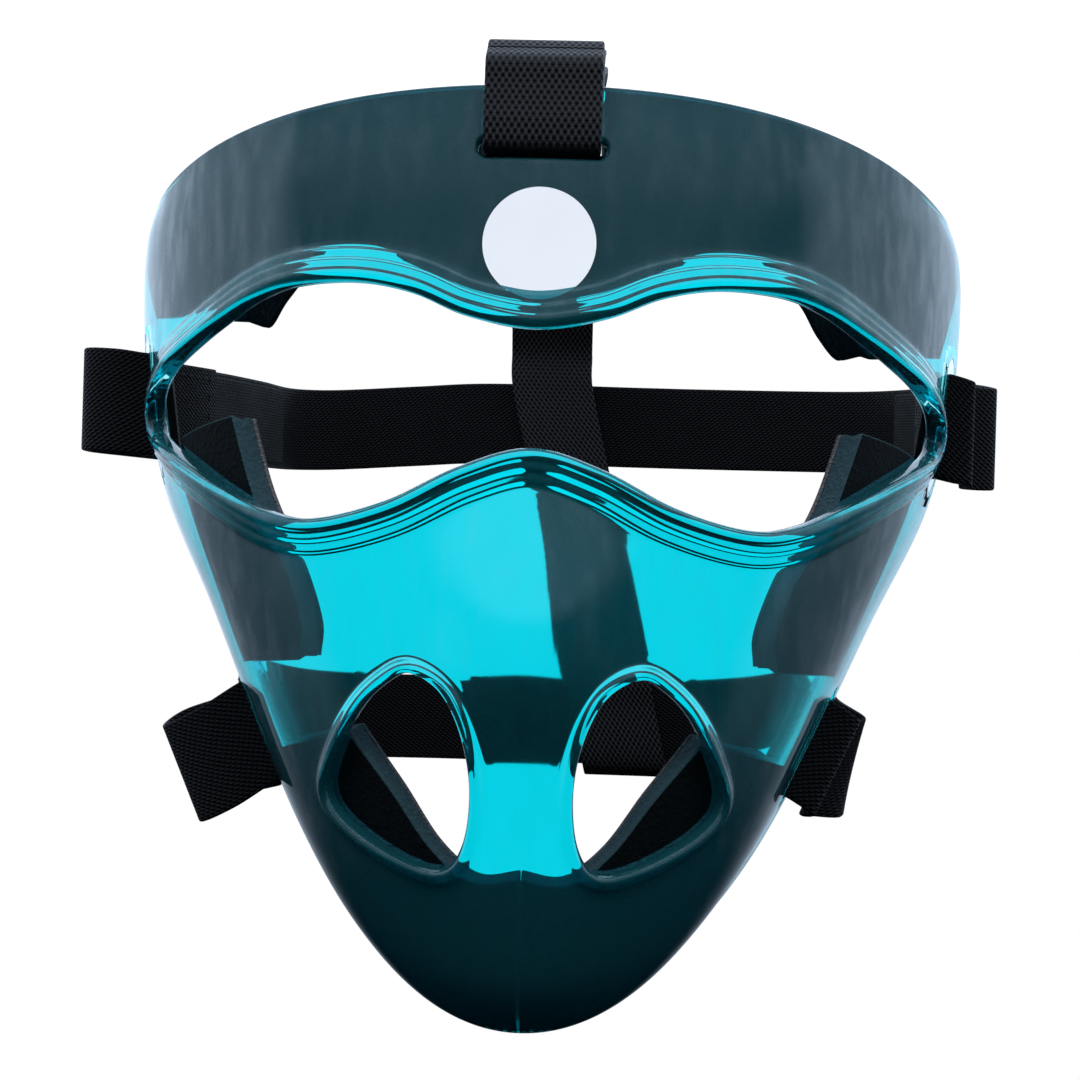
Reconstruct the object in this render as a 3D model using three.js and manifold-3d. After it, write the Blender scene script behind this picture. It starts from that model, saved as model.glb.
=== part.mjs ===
// Face guard: a clear moulded mask shell, foam pads inside it and an elastic head harness.
// Millimetres, +Z up. The wearer looks along -Y, so +X is the wearer's left.
// The origin is the middle of the forehead pad's inner face, where the guard rests on the head.
import * as THREE from 'three';
import { mergeVertices } from 'three/addons/utils/BufferGeometryUtils.js';
import Module from 'manifold-3d';

const wasm = await Module();
wasm.setup();

// Shell sizes
const shellHalfWidth = 100.5;
const shellHeight = 206;
const shellDepth = 69;
const shellWall = 3;
const noseRise = 9;
const noseHalfWidth = 19;
const noseHalfHeight = 27;
const noseHeight = 86;
const cutOverrun = 7;

// Clearances
const seatGap = 0.3;
const foldGap = 0.6;
const crossingGap = 0.8;

// Openings in the shell
const eyeHalfSpan = 92;
const ventInset = 10.8;
const ventWidth = 31.4;
const eyeLipWidth = 7.5;
const eyeLipRise = 2.6;
const ventLipWidth = 4.6;
const ventLipRise = 1.8;

// Strap slots
const sideSlotLength = 30.5;
const sideSlotWidth = 7;
const sideSlotInset = 9.5;
const crownSlotLength = 27.8;
const crownSlotWidth = 4.2;

// Shares of the shell's height: where its openings and slots are, and how high they are
const eyeBottomShare = 0.5403;
const eyeOpeningShare = 0.2451;
const ventBottomShare = 0.1869;
const ventShare = 0.199;
const upperSlotShare = 0.67;
const lowerSlotShare = 0.299;
const crownSlotShare = 0.9267;

// Pads
const foreheadPadThickness = 8;
const sidePadThickness = 5.5;
const linerThickness = 1;
const padNotchHalfWidth = 13.4;
const padNotchHeight = 19.5;
const padMeetingGap = 0.6;

// Harness
const bandWidth = 25;
const bandThickness = 1.6;
const webbingWidth = 25;
const webbingThickness = 1.7;
const loopTapeThickness = 0.9;
const hookTapeThickness = 0.9;
const tapeMargin = 1.5;
const hookTapeLength = 24;
const loopTapeLength = 92;
const crownHookTapeLength = 28;
const crownLoopTapeLength = 60;
const keeperLength = 44;
const upperBandBackDepth = 196;
const upperBandBackHeight = 144;
const upperLeftLoopPuff = 10;
const upperLeftLoopDrop = 3;
const upperRightLoopPuff = 15;
const upperRightLoopDrop = -1;
const lowerBandBackDepth = 172;
const lowerBandBackHeight = 54;
const lowerLeftLoopPuff = 10;
const lowerLeftLoopDrop = 6.5;
const lowerRightLoopPuff = 18;
const lowerRightLoopDrop = 11;
const crownTopHeight = 229;
const crownTopDepth = 96;
const crownLoopRise = 6.3;
const crownLoopDepth = 6.5;
const crownLoopPitch = 4.6;
const crownLean = 20;
const crownFarLean = 3.2;
const crownHemLength = 20;

// The head rests behind the shell wall, the pad and its liner
const headDepth = shellWall + seatGap + foreheadPadThickness + seatGap + linerThickness;
const headHeight = 180;

// Mesh steps
const shellColumns = 34;
const shellRows = 24;
const eyeSteps = 64;
const ventSteps = 24;
const stepsBetweenPoints = 4;
const foldSteps = 3;
const foreheadColumns = 26;
const sidePadColumns = 10;
const padRows = 5;
const slopeStep = 0.002;
const searchTurns = 30;
const searchStride = 0.1;
const searchStart = 0.0005;
const searchEnd = 0.995;

const half = 0.5;

// A place in the part's frame from a distance across, a depth behind the forehead and a height
// above the chin.
function place(across, depth, height) {
  return new THREE.Vector3(across, depth - headDepth, height - headHeight);
}

// The shell is a row of sections. Each runs from the centre line to the rear edge.
// Shares of the depth and height, from the back of the chin, under it and up to the top.
const centreShares = [
  [0.50, 0.030], [0.25, 0.0], [0.055, 0.045], [-0.02, 0.130], [-0.055, 0.250],
  [-0.065, 0.400], [-0.05, 0.550], [-0.025, 0.690], [0.0, 0.820], [0.02, 0.915], [0.058, 0.995],
];
// Shares of the half width, depth and height, from the chin corner up the jaw to the temple.
const edgeShares = [
  [0.260, 0.600, 0.046], [0.388, 0.660, 0.090], [0.492, 0.715, 0.150], [0.583, 0.765, 0.222],
  [0.675, 0.820, 0.312], [0.794, 0.885, 0.437], [0.925, 0.957, 0.568], [0.985, 1.0, 0.690],
  [1.0, 0.995, 0.795], [0.985, 0.930, 0.865], [0.935, 0.790, 0.908],
];
// How far the front runs across, and how far the side wall runs back, at each section.
const frontShares = [0.50, 0.58, 0.68, 0.76, 0.80, 0.80, 0.78, 0.74, 0.72, 0.72, 0.74];
const wallShares = [0.20, 0.28, 0.38, 0.46, 0.52, 0.52, 0.48, 0.44, 0.42, 0.40, 0.36];
const flareShare = 0.12;

const centreLine = new THREE.CatmullRomCurve3(
  centreShares.map(([depth, height]) => place(0, depth * shellDepth, height * shellHeight)),
  false, 'catmullrom', half);
const rearEdge = new THREE.CatmullRomCurve3(
  edgeShares.map(([across, depth, height]) =>
    place(across * shellHalfWidth, depth * shellDepth, height * shellHeight)),
  false, 'catmullrom', half);

// A share between the sections of a table, by straight lines.
function shareAt(table, v) {
  const along = v * (table.length - 1);
  const first = Math.min(Math.floor(along), table.length - 2);
  return THREE.MathUtils.lerp(table[first], table[first + 1], along - first);
}

// The outer face of the shell. u runs from -1 to 1 across, v from 0 at the chin to 1 at the top.
function shellPoint(u, v) {
  const centre = centreLine.getPoint(v);
  const edge = rearEdge.getPoint(v);
  const depth = edge.y - centre.y;
  const front = new THREE.Vector3(centre.x + shareAt(frontShares, v) * edge.x, centre.y, centre.z);
  const wall = new THREE.Vector3(
    edge.x - flareShare * depth, edge.y - shareAt(wallShares, v) * depth, edge.z);
  const curve = new THREE.CubicBezierCurve3(centre, front, wall, edge);
  const point = curve.getPoint(Math.abs(u));
  const noseAcross = point.x / noseHalfWidth;
  const noseUp = (point.z + headHeight - noseHeight) / noseHalfHeight;
  point.y -= noseRise * Math.exp(-noseAcross * noseAcross - noseUp * noseUp);
  point.x *= Math.sign(u);
  return point;
}

// The outward normal of the shell's outer face.
function shellNormal(u, v) {
  const lowU = Math.max(u - slopeStep, -1);
  const highU = Math.min(u + slopeStep, 1);
  const lowV = Math.max(v - slopeStep, 0);
  const highV = Math.min(v + slopeStep, 1);
  const across = shellPoint(highU, v).sub(shellPoint(lowU, v));
  const up = shellPoint(u, highV).sub(shellPoint(u, lowV));
  return across.cross(up).normalize();
}

// A point at a depth below the shell's outer face.
function belowShell(u, v, depth) {
  return shellPoint(u, v).addScaledVector(shellNormal(u, v), -depth);
}

function stride(step) {
  return THREE.MathUtils.clamp(step, -searchStride, searchStride);
}

// The shell place seen at a distance across and a height above the chin, found by steps.
function shellPlace(across, height) {
  const side = Math.abs(across);
  const target = height - headHeight;
  let u = half;
  let v = half;
  for (let turn = 0; turn < searchTurns; turn += 1) {
    const here = shellPoint(u, v);
    const nextU = shellPoint(u + slopeStep, v).sub(here).divideScalar(slopeStep);
    const nextV = shellPoint(u, v + slopeStep).sub(here).divideScalar(slopeStep);
    const missX = side - here.x;
    const missZ = target - here.z;
    const area = nextU.x * nextV.z - nextV.x * nextU.z;
    u += stride((missX * nextV.z - missZ * nextV.x) / area);
    v += stride((missZ * nextU.x - missX * nextU.z) / area);
    u = THREE.MathUtils.clamp(u, searchStart, searchEnd);
    v = THREE.MathUtils.clamp(v, searchStart, searchEnd);
  }
  return [across < 0 ? -u : u, v];
}

// A closed solid from points and triangles, turned so that its faces point out.
function closedSolid(points, triangles) {
  let volume = 0;
  for (const [a, b, c] of triangles) {
    volume += points[a].dot(new THREE.Vector3().crossVectors(points[b], points[c]));
  }
  const faces = volume < 0 ? triangles.map(([a, b, c]) => [a, c, b]) : triangles;
  const geometry = new THREE.BufferGeometry();
  geometry.setAttribute('position', new THREE.Float32BufferAttribute(
    points.flatMap((point) => point.toArray()), 3));
  geometry.setIndex(faces.flat());
  return geometry;
}

// A slab between two depths below the shell. shellAt gives the shell place at shares of its
// columns and rows.
function slab(columns, rows, shellAt, outerDepth, innerDepth) {
  const points = [];
  for (const depth of [outerDepth, innerDepth]) {
    for (let row = 0; row <= rows; row += 1) {
      for (let column = 0; column <= columns; column += 1) {
        const [u, v] = shellAt(column / columns, row / rows);
        points.push(belowShell(u, v, depth));
      }
    }
  }
  const layer = (columns + 1) * (rows + 1);
  const index = (column, row) => row * (columns + 1) + column;
  const triangles = [];
  for (let row = 0; row < rows; row += 1) {
    for (let column = 0; column < columns; column += 1) {
      const a = index(column, row);
      const b = index(column + 1, row);
      const c = index(column + 1, row + 1);
      const d = index(column, row + 1);
      triangles.push([a, b, c], [a, c, d]);
      triangles.push([a + layer, c + layer, b + layer], [a + layer, d + layer, c + layer]);
    }
  }
  const rim = [];
  for (let column = 0; column < columns; column += 1) rim.push(index(column, 0));
  for (let row = 0; row < rows; row += 1) rim.push(index(columns, row));
  for (let column = columns; column > 0; column -= 1) rim.push(index(column, rows));
  for (let row = rows; row > 0; row -= 1) rim.push(index(0, row));
  rim.forEach((a, step) => {
    const b = rim[(step + 1) % rim.length];
    triangles.push([a, b + layer, b], [a, a + layer, b + layer]);
  });
  return closedSolid(points, triangles);
}

// A sweep of a flat profile. Each station has a point and two directions, and a profile point
// is a distance along each. A sweep that isn't a ring is capped.
function sweep(stations, profile, ring) {
  const points = stations.flatMap(({ point, across, out }) =>
    profile.map(([a, b]) => point.clone().addScaledVector(across, a).addScaledVector(out, b)));
  const sides = profile.length;
  const spans = ring ? stations.length : stations.length - 1;
  const triangles = [];
  for (let span = 0; span < spans; span += 1) {
    const next = (span + 1) % stations.length;
    for (let side = 0; side < sides; side += 1) {
      const a = span * sides + side;
      const b = span * sides + ((side + 1) % sides);
      const c = next * sides + ((side + 1) % sides);
      const d = next * sides + side;
      triangles.push([a, b, c], [a, c, d]);
    }
  }
  if (!ring) {
    const last = (stations.length - 1) * sides;
    for (let side = 1; side < sides - 1; side += 1) {
      triangles.push([0, side + 1, side], [last, last + side, last + side + 1]);
    }
  }
  return closedSolid(points, triangles);
}

// The stations of an opening's edge on the shell, from outline points across and above the chin.
function openingStations(outline, steps) {
  const curve = new THREE.CatmullRomCurve3(
    outline.map(([across, height]) => new THREE.Vector3(across, 0, height)), true, 'catmullrom', half);
  const places = [];
  for (let step = 0; step < steps; step += 1) {
    const { x, z } = curve.getPoint(step / steps);
    places.push(shellPlace(x, z));
  }
  const points = places.map(([u, v]) => shellPoint(u, v));
  const middle = points.reduce((sum, point) => sum.add(point), new THREE.Vector3())
    .divideScalar(steps);
  const stations = places.map(([u, v], step) => {
    const along = points[(step + 1) % steps].clone().sub(points[(step + steps - 1) % steps]);
    const out = shellNormal(u, v);
    return { point: points[step], across: along.cross(out).normalize(), out };
  });
  const first = stations[0];
  if (first.across.dot(first.point.clone().sub(middle)) < 0) {
    stations.forEach(({ across }) => across.negate());
  }
  return stations;
}

// A plug that cuts an opening square to the shell, out to the middle of the lip that then fills
// its edge. The stations are paired across the opening.
function openingPlug(stations, lipWidth) {
  const count = stations.length;
  const edge = stations.map(({ point, across }) =>
    point.clone().addScaledVector(across, half * lipWidth));
  const outer = stations.map(({ out }, step) => edge[step].clone().addScaledVector(out, cutOverrun));
  const inner = stations.map(({ out }, step) =>
    edge[step].clone().addScaledVector(out, -shellWall - cutOverrun));
  const triangles = [];
  for (let step = 0; step < count; step += 1) {
    const next = (step + 1) % count;
    triangles.push([step, next, next + count], [step, next + count, step + count]);
  }
  for (let step = 0; step < count / 2; step += 1) {
    const mate = (count - step) % count;
    const nextMate = count - step - 1;
    if (mate !== step) {
      triangles.push([step, mate, step + 1], [step + count, step + 1 + count, mate + count]);
    }
    if (nextMate !== step + 1) {
      triangles.push([step + 1, mate, nextMate], [step + 1 + count, nextMate + count, mate + count]);
    }
  }
  return closedSolid([...outer, ...inner], triangles);
}

// The lip's section: distances from the opening's edge, and heights above the shell's face.
const lipShares = [
  [0, -0.9], [0.95, -0.9], [1, -0.12], [0.6, 0.45], [0.28, 1], [0.1, 0.92], [0, 0.5],
];

function lipProfile(lipWidth, lipRise) {
  return lipShares.map(([away, rise]) =>
    [away * lipWidth, rise < 0 ? rise * shellWall : rise * lipRise]);
}

// A slot's place: its middle, its long direction, the way over the shell's edge, and the normal.
function slotFrame(point, along, out) {
  const straight = along.clone().addScaledVector(out, -along.dot(out)).normalize();
  return { point, along: straight, over: new THREE.Vector3().crossVectors(out, straight), out };
}

// A slot's plug with round ends, as a block through the wall.
function slotPlug(frame, length, width) {
  const radius = width * half;
  const straight = length * half - radius;
  const outline = new THREE.Shape();
  outline.absarc(0, straight, radius, 0, Math.PI);
  outline.absarc(0, -straight, radius, Math.PI, 2 * Math.PI);
  const block = new THREE.ExtrudeGeometry(outline, {
    depth: shellWall + 2 * cutOverrun, bevelEnabled: false, curveSegments: 5,
  });
  block.translate(0, 0, -shellWall - cutOverrun);
  const across = new THREE.Vector3().crossVectors(frame.along, frame.out);
  block.applyMatrix4(new THREE.Matrix4().makeBasis(across, frame.along, frame.out));
  block.translate(frame.point.x, frame.point.y, frame.point.z);
  return block;
}

// A solid for joining and cutting, and back.
function toSolid(geometry) {
  const plain = geometry.clone();
  plain.deleteAttribute('normal');
  plain.deleteAttribute('uv');
  const merged = mergeVertices(plain);
  return new wasm.Manifold(new wasm.Mesh({
    numProp: 3,
    vertProperties: new Float32Array(merged.attributes.position.array),
    triVerts: new Uint32Array(merged.index.array),
  }));
}

function toGeometry(solid) {
  const mesh = solid.getMesh();
  const geometry = new THREE.BufferGeometry();
  geometry.setAttribute('position', new THREE.BufferAttribute(mesh.vertProperties, 3));
  geometry.setIndex(new THREE.BufferAttribute(mesh.triVerts, 1));
  return geometry;
}

// The eye opening, from the wearer's left end over the brow to the nose bridge and back.
const eyeUpperShares = [
  [1, 0.47], [0.985, 0.56], [0.93, 0.66], [0.85, 0.75], [0.76, 0.845], [0.67, 0.935],
  [0.57, 0.99], [0.42, 1], [0.29, 0.955], [0.16, 0.86], [0, 0.81],
];
const eyeLowerShares = [
  [0, 0.31], [0.16, 0.23], [0.33, 0.08], [0.5, 0], [0.62, 0.03], [0.74, 0.13],
  [0.85, 0.24], [0.94, 0.33], [0.985, 0.39],
];

function eyeOutline() {
  const size = ([across, height]) =>
    [across * eyeHalfSpan, (eyeBottomShare + height * eyeOpeningShare) * shellHeight];
  const upper = eyeUpperShares.map(size);
  const lower = eyeLowerShares.map(size);
  const farUpper = upper.slice(0, -1).reverse().map(([across, height]) => [-across, height]);
  const farLower = lower.slice(1).reverse().map(([across, height]) => [-across, height]);
  return [...upper, ...farUpper, ...farLower, ...lower];
}

// A mouth vent, a leaning drop, from its top round its inner side.
const ventShares = [
  [0.42, 1], [0.20, 0.91], [0.06, 0.70], [0, 0.42], [0.04, 0.14], [0.18, 0],
  [0.48, 0.05], [0.84, 0.2], [1, 0.36], [0.94, 0.62], [0.78, 0.86], [0.61, 0.98],
];

function ventOutline(side) {
  return ventShares.map(([across, height]) =>
    [side * (ventInset + across * ventWidth), (ventBottomShare + height * ventShare) * shellHeight]);
}

// The share of the way across where a place lies a distance in front of the rear edge.
function insetFromEdge(v, inset) {
  let u = 1;
  while (shellPoint(1, v).distanceTo(shellPoint(u, v)) < inset) u -= slopeStep;
  return u;
}

// The section at which the rear edge reaches a height above the chin.
function sectionAtEdgeHeight(height) {
  let v = 0;
  while (rearEdge.getPoint(v).z + headHeight < height) v += slopeStep;
  return v;
}

function sideSlotFrame(side, heightShare) {
  const v = sectionAtEdgeHeight(heightShare * shellHeight);
  const u = side * insetFromEdge(v, sideSlotInset);
  const along = rearEdge.getPoint(v + slopeStep).sub(rearEdge.getPoint(v - slopeStep));
  along.x *= side;
  const frame = slotFrame(shellPoint(u, v), along, shellNormal(u, v));
  frame.over.multiplyScalar(-side);
  return { ...frame, side, v };
}

function crownSlotFrame() {
  const v = shellPlace(slopeStep, crownSlotShare * shellHeight)[1];
  const frame = slotFrame(shellPoint(0, v), new THREE.Vector3(1, 0, 0), shellNormal(0, v));
  frame.over.multiplyScalar(Math.sign(frame.over.z));
  return frame;
}

// A place beside a slot: a distance out of the shell's face and a distance over to its edge.
function besideSlot(frame, outward, over) {
  return frame.point.clone().addScaledVector(frame.out, outward).addScaledVector(frame.over, over);
}

const sideSlots = {
  upper_left: sideSlotFrame(1, upperSlotShare),
  upper_right: sideSlotFrame(-1, upperSlotShare),
  lower_left: sideSlotFrame(1, lowerSlotShare),
  lower_right: sideSlotFrame(-1, lowerSlotShare),
};
const crownSlot = crownSlotFrame();

function shellGeometry() {
  const wholeShell = slab(shellColumns, shellRows,
    (column, row) => [2 * column - 1, row], 0, shellWall);
  const eyeStations = openingStations(eyeOutline(), eyeSteps);
  const ventStations = [-1, 1].map((side) => openingStations(ventOutline(side), ventSteps));
  const openings = [
    [eyeStations, eyeLipWidth, eyeLipRise],
    ...ventStations.map((stations) => [stations, ventLipWidth, ventLipRise]),
  ];
  let solid = toSolid(wholeShell);
  for (const [stations, lipWidth, lipRise] of openings) {
    solid = solid.subtract(toSolid(openingPlug(stations, lipWidth)));
    solid = solid.add(toSolid(sweep(stations, lipProfile(lipWidth, lipRise), true)));
  }
  for (const frame of Object.values(sideSlots)) {
    solid = solid.subtract(toSolid(slotPlug(frame, sideSlotLength, sideSlotWidth)));
  }
  solid = solid.subtract(toSolid(slotPlug(crownSlot, crownSlotLength, crownSlotWidth)));
  return toGeometry(solid);
}

// A smooth edge through points of two numbers, at even steps.
function smoothEdge(points, steps) {
  const curve = new THREE.CatmullRomCurve3(
    points.map(([first, second]) => new THREE.Vector3(first, 0, second)), false, 'catmullrom', half);
  return Array.from({ length: steps + 1 }, (_, step) => {
    const { x, z } = curve.getPoint(step / steps);
    return [x, z];
  });
}

// A pad's edge as places on the shell, from points given across and above the chin.
function edgePlaces(points, columns) {
  return smoothEdge(points, columns).map(([across, height]) => shellPlace(across, height));
}

// A pad's layer follows the shell between two edges and two depths.
function padLayer(first, second, depths) {
  const columns = first.length - 1;
  const shellAt = (column, row) => {
    const from = first[Math.round(column * columns)];
    const to = second[Math.round(column * columns)];
    return [THREE.MathUtils.lerp(from[0], to[0], row), THREE.MathUtils.lerp(from[1], to[1], row)];
  };
  return slab(columns, padRows, shellAt, ...depths);
}

// Depths below the shell's outer face of a pad's foam and of its liner.
function foamDepths(thickness) {
  return [shellWall + seatGap, shellWall + seatGap + thickness];
}

function linerDepths(thickness) {
  const start = shellWall + seatGap + thickness + seatGap;
  return [start, start + linerThickness];
}

// The pads' edges: shares of the shell's half width and height.
const foreheadLowerLeftShares = [
  [0, 0.775], [0.20, 0.787], [0.37, 0.827], [0.52, 0.827], [0.63, 0.793], [0.69, 0.757], [0.75, 0.733],
  [0.80, 0.741], [0.86, 0.738], [0.93, 0.744],
];
const foreheadLowerRightShares = [
  [0, 0.775], [0.20, 0.787], [0.37, 0.827], [0.52, 0.827], [0.63, 0.783], [0.685, 0.752], [0.735, 0.760],
  [0.80, 0.761], [0.925, 0.766],
];
// The forehead pad's upper edge follows the shell's: shares of the way across and up the shell.
const foreheadUpperPlaces = [
  [0, 0.996], [0.20, 0.996], [0.40, 0.996], [0.58, 0.996], [0.74, 0.994], [0.88, 0.98], [0.95, 0.935],
  [0.96, 0.85],
];
const cheekFrontShares = [
  [0.515, 0.39], [0.505, 0.427], [0.545, 0.485], [0.600, 0.528], [0.648, 0.573], [0.706, 0.650],
];
const cheekRearShares = [
  [0.660, 0.379], [0.705, 0.427], [0.750, 0.480], [0.790, 0.525], [0.825, 0.568], [0.868, 0.628],
];
const leftCheekShift = 0.03;
const rightCheekShift = -0.01;
const jawFrontShares = [[0.395, 0.322], [0.29, 0.262], [0.195, 0.203], [0.10, 0.172], [0, 0.177]];
// The jaw pads' lower edge turns under the chin: shares of the way across and up the shell.
const jawRearPlaces = [[0.80, 0.375], [0.80, 0.30], [0.76, 0.22], [0.52, 0.13], [0, 0.085]];

// An edge on one side of the face, kept clear of the middle.
function sideEdge(shares, side) {
  return shares.map(([across, height]) =>
    [side * Math.max(across * shellHalfWidth, padMeetingGap * half), height * shellHeight]);
}

function wholeEdge(leftShares, rightShares) {
  return [...sideEdge(rightShares.slice(1), -1).reverse(), ...sideEdge(leftShares, 1)];
}

// The forehead pad is notched where the crown strap comes down behind the shell.
function foreheadLayer(depths) {
  const farUpper = foreheadUpperPlaces.slice(1).reverse().map(([u, v]) => [-u, v]);
  const lower = wholeEdge(foreheadLowerLeftShares, foreheadLowerRightShares);
  const layer = padLayer(edgePlaces(lower, foreheadColumns),
    smoothEdge([...farUpper, ...foreheadUpperPlaces], foreheadColumns), depths);
  const notch = new THREE.BoxGeometry(2 * padNotchHalfWidth, shellDepth, padNotchHeight);
  notch.translate(0, 0, shellHeight - headHeight - padNotchHeight * half);
  return toGeometry(toSolid(layer).subtract(toSolid(notch)));
}

// The cheek pads are glued in by hand: one sits a little further out, the other further in.
function cheekLayer(side, depths) {
  const shift = side > 0 ? leftCheekShift : rightCheekShift;
  const [front, rear] = [cheekFrontShares, cheekRearShares].map((shares) =>
    edgePlaces(sideEdge(shares.map(([across, height]) => [across + shift, height]), side),
      sidePadColumns));
  return padLayer(front, rear, depths);
}

// The jaw pads meet under the chin with a gap, which their shares of the way across keep.
function jawLayer(side, depths) {
  const front = edgePlaces(sideEdge(jawFrontShares, side), sidePadColumns);
  const middle = Math.abs(front[sidePadColumns][0]);
  const rear = smoothEdge(jawRearPlaces, sidePadColumns)
    .map(([u, v]) => [side * Math.max(u, middle), v]);
  return padLayer(front, rear, depths);
}

// Straps are flat ribbons along smooth lines.
function strapLine(points) {
  return new THREE.CatmullRomCurve3(points, false, 'centripetal', half);
}

// The stations of a ribbon up to a share of its line, with its width direction and the side
// that faces away from the head.
function ribbonStations(line, widthAt, upTo, steps, turn) {
  const stations = [];
  for (let step = 0; step <= steps; step += 1) {
    const share = upTo * step / steps;
    const along = line.getTangent(share);
    const across = widthAt(share).clone().normalize();
    const out = new THREE.Vector3().crossVectors(along, across).normalize().multiplyScalar(turn);
    stations.push({ point: line.getPoint(share), across, out });
  }
  return stations;
}

// A ribbon of a width and thickness, its middle at an offset from the stations.
function ribbon(stations, width, thickness, offset) {
  const near = offset - thickness * half;
  const far = offset + thickness * half;
  const side = width * half;
  return sweep(stations, [[-side, near], [side, near], [side, far], [-side, far]], false);
}

// The stations from a first one that cover a length, walking one way.
function stationsAlong(stations, first, way, length) {
  const taken = [stations[first]];
  let run = 0;
  for (let index = first + way; run < length; index += way) {
    run += stations[index].point.distanceTo(stations[index - way].point);
    taken.push(stations[index]);
  }
  return taken;
}

// A band's loop from inside its slot, out round the shell's rear edge, to its landing: shares of
// its puff out, of the slot's inset over the edge and of its drop.
const loopShares = {
  left: [[0.62, 0.1, 0.6], [0.40, 0.75, 0.8], [1, 1.5, 0.8], [0.6, 2.4, 0.3]],
  right: [[0.55, 0.1, 0.6], [1, 0.7, 1], [0.9, 1.6, 0.8], [0.3, 2.4, 0.4]],
};

function slotLoop(frame, shares, puff, drop) {
  const outward = frame.out.clone().setZ(0).normalize();
  const over = frame.over.clone().setZ(0).normalize();
  const beside = ([outShare, overShare, dropShare]) => frame.point.clone()
    .addScaledVector(outward, outShare * puff)
    .addScaledVector(over, overShare * sideSlotInset)
    .setZ(frame.point.z - dropShare * drop);
  return [
    besideSlot(frame, -shellWall - seatGap, 0),
    besideSlot(frame, 0, 0),
    ...shares.map(beside),
  ];
}

// The bands' runs round the head: shares of the shell's half width and of the band's depth, and
// of the way up from the slots to the height at the back. Their width directions turn from the
// slots' directions to upright between two shares of the line from either end.
const bands = {
  upper: {
    backDepth: upperBandBackDepth,
    backHeight: upperBandBackHeight,
    loops: {
      left: [upperLeftLoopPuff, upperLeftLoopDrop], right: [upperRightLoopPuff, upperRightLoopDrop],
    },
    turnShares: [0, 0.1],
    run: [
      [1.01, 0.52, 0.3], [1.05, 0.68, 0.6], [1.04, 0.86, 0.9], [0.90, 0.965, 1], [0.45, 1, 1],
      [0.25, 1, 1], [-0.25, 1, 1], [-0.45, 1, 0.75], [-0.71, 0.99, 0.4], [-0.81, 0.95, 0.3],
      [-0.86, 0.78, 0.2], [-0.91, 0.62, 0.1], [-0.955, 0.51, 0],
    ],
  },
  lower: {
    backDepth: lowerBandBackDepth,
    backHeight: lowerBandBackHeight,
    loops: {
      left: [lowerLeftLoopPuff, lowerLeftLoopDrop], right: [lowerRightLoopPuff, lowerRightLoopDrop],
    },
    turnShares: [0.14, 0.21],
    run: [
      [0.73, 0.52, 0.1], [0.77, 0.68, 0.2], [0.77, 0.86, 0.4], [0.64, 0.975, 0.7], [0.42, 1, 0.9],
      [0.31, 1, 1], [0.02, 1, 1], [-0.34, 1, 1], [-0.64, 0.97, 1], [-0.80, 0.84, 0.8],
      [-0.82, 0.68, 0.5], [-0.76, 0.52, 0.2],
    ],
  },
};

// A band's whole line, from the wearer's left slot round the back to the right one, with the
// stations at which its two loops land.
function bandLine(level) {
  const { backDepth, backHeight, loops, run } = bands[level];
  const left = slotLoop(sideSlots[`${level}_left`], loopShares.left, ...loops.left);
  const right = slotLoop(sideSlots[`${level}_right`], loopShares.right, ...loops.right).reverse();
  const slotHeight = left[1].z + headHeight;
  const back = run.map(([across, depth, rise]) => place(
    across * shellHalfWidth, depth * backDepth, THREE.MathUtils.lerp(slotHeight, backHeight, rise)));
  const points = [...left, ...back, ...right];
  const steps = (points.length - 1) * stepsBetweenPoints;
  const landing = (left.length - 1) * stepsBetweenPoints;
  return { line: strapLine(points), steps, landings: { left: landing, right: steps - landing } };
}

function bandWidthAt(level) {
  const upright = new THREE.Vector3(0, 0, 1);
  return (share) => {
    const side = share < half ? 'left' : 'right';
    const fromEnd = share < half ? share : 1 - share;
    const turned = THREE.MathUtils.smoothstep(fromEnd, ...bands[level].turnShares);
    return sideSlots[`${level}_${side}`].along.clone().lerp(upright, turned);
  };
}

// Offsets from the middle of a strap to the middles of the layers that its tail adds.
function tapeOffsets(strapThickness) {
  const loop = (strapThickness + loopTapeThickness) * half + seatGap;
  const hook = loop + (loopTapeThickness + hookTapeThickness) * half + seatGap;
  return { loop, hook, tail: hook + (hookTapeThickness + strapThickness) * half + seatGap };
}

// A tail turns back at its pivot, rests inside the shell and lies along its strap's tape.
function tailStations(turns, widthDirection, beside, offset, turn) {
  const laid = beside.map(({ point, across, out }) =>
    ({ point: point.clone().addScaledVector(out, offset), across, out }));
  const fold = strapLine([...turns, laid[0].point, laid[1].point]);
  const folded = ribbonStations(fold, () => widthDirection,
    turns.length / (turns.length + 1), turns.length * foldSteps, turn);
  return [...folded.slice(0, -1), ...laid];
}

const part = new THREE.Group();

function addPiece(name, geometry, colour, roughness) {
  const material = new THREE.MeshStandardMaterial({ color: colour, roughness, metalness: 0 });
  const mesh = new THREE.Mesh(geometry, material);
  mesh.name = name;
  part.add(mesh);
}

const colours = {
  shell: 0x0a9aae, foam: 0x14191b, liner: 0x6d787b, elastic: 0x1b1b1f, webbing: 0x1f1f23,
  loopTape: 0x26262b, hookTape: 0x101013,
};
const glossy = 0.08;
const cloth = 0.85;

function addPad(name, layerAt, thickness) {
  addPiece(`${name}_foam`, layerAt(foamDepths(thickness)), colours.foam, cloth);
  addPiece(`${name}_liner`, layerAt(linerDepths(thickness)), colours.liner, cloth);
}

function addPads() {
  addPad('forehead_pad', foreheadLayer, foreheadPadThickness);
  for (const [name, side] of [['left', 1], ['right', -1]]) {
    addPad(`${name}_cheek_pad`, (depths) => cheekLayer(side, depths), sidePadThickness);
    addPad(`${name}_jaw_pad`, (depths) => jawLayer(side, depths), sidePadThickness);
  }
}

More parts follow.
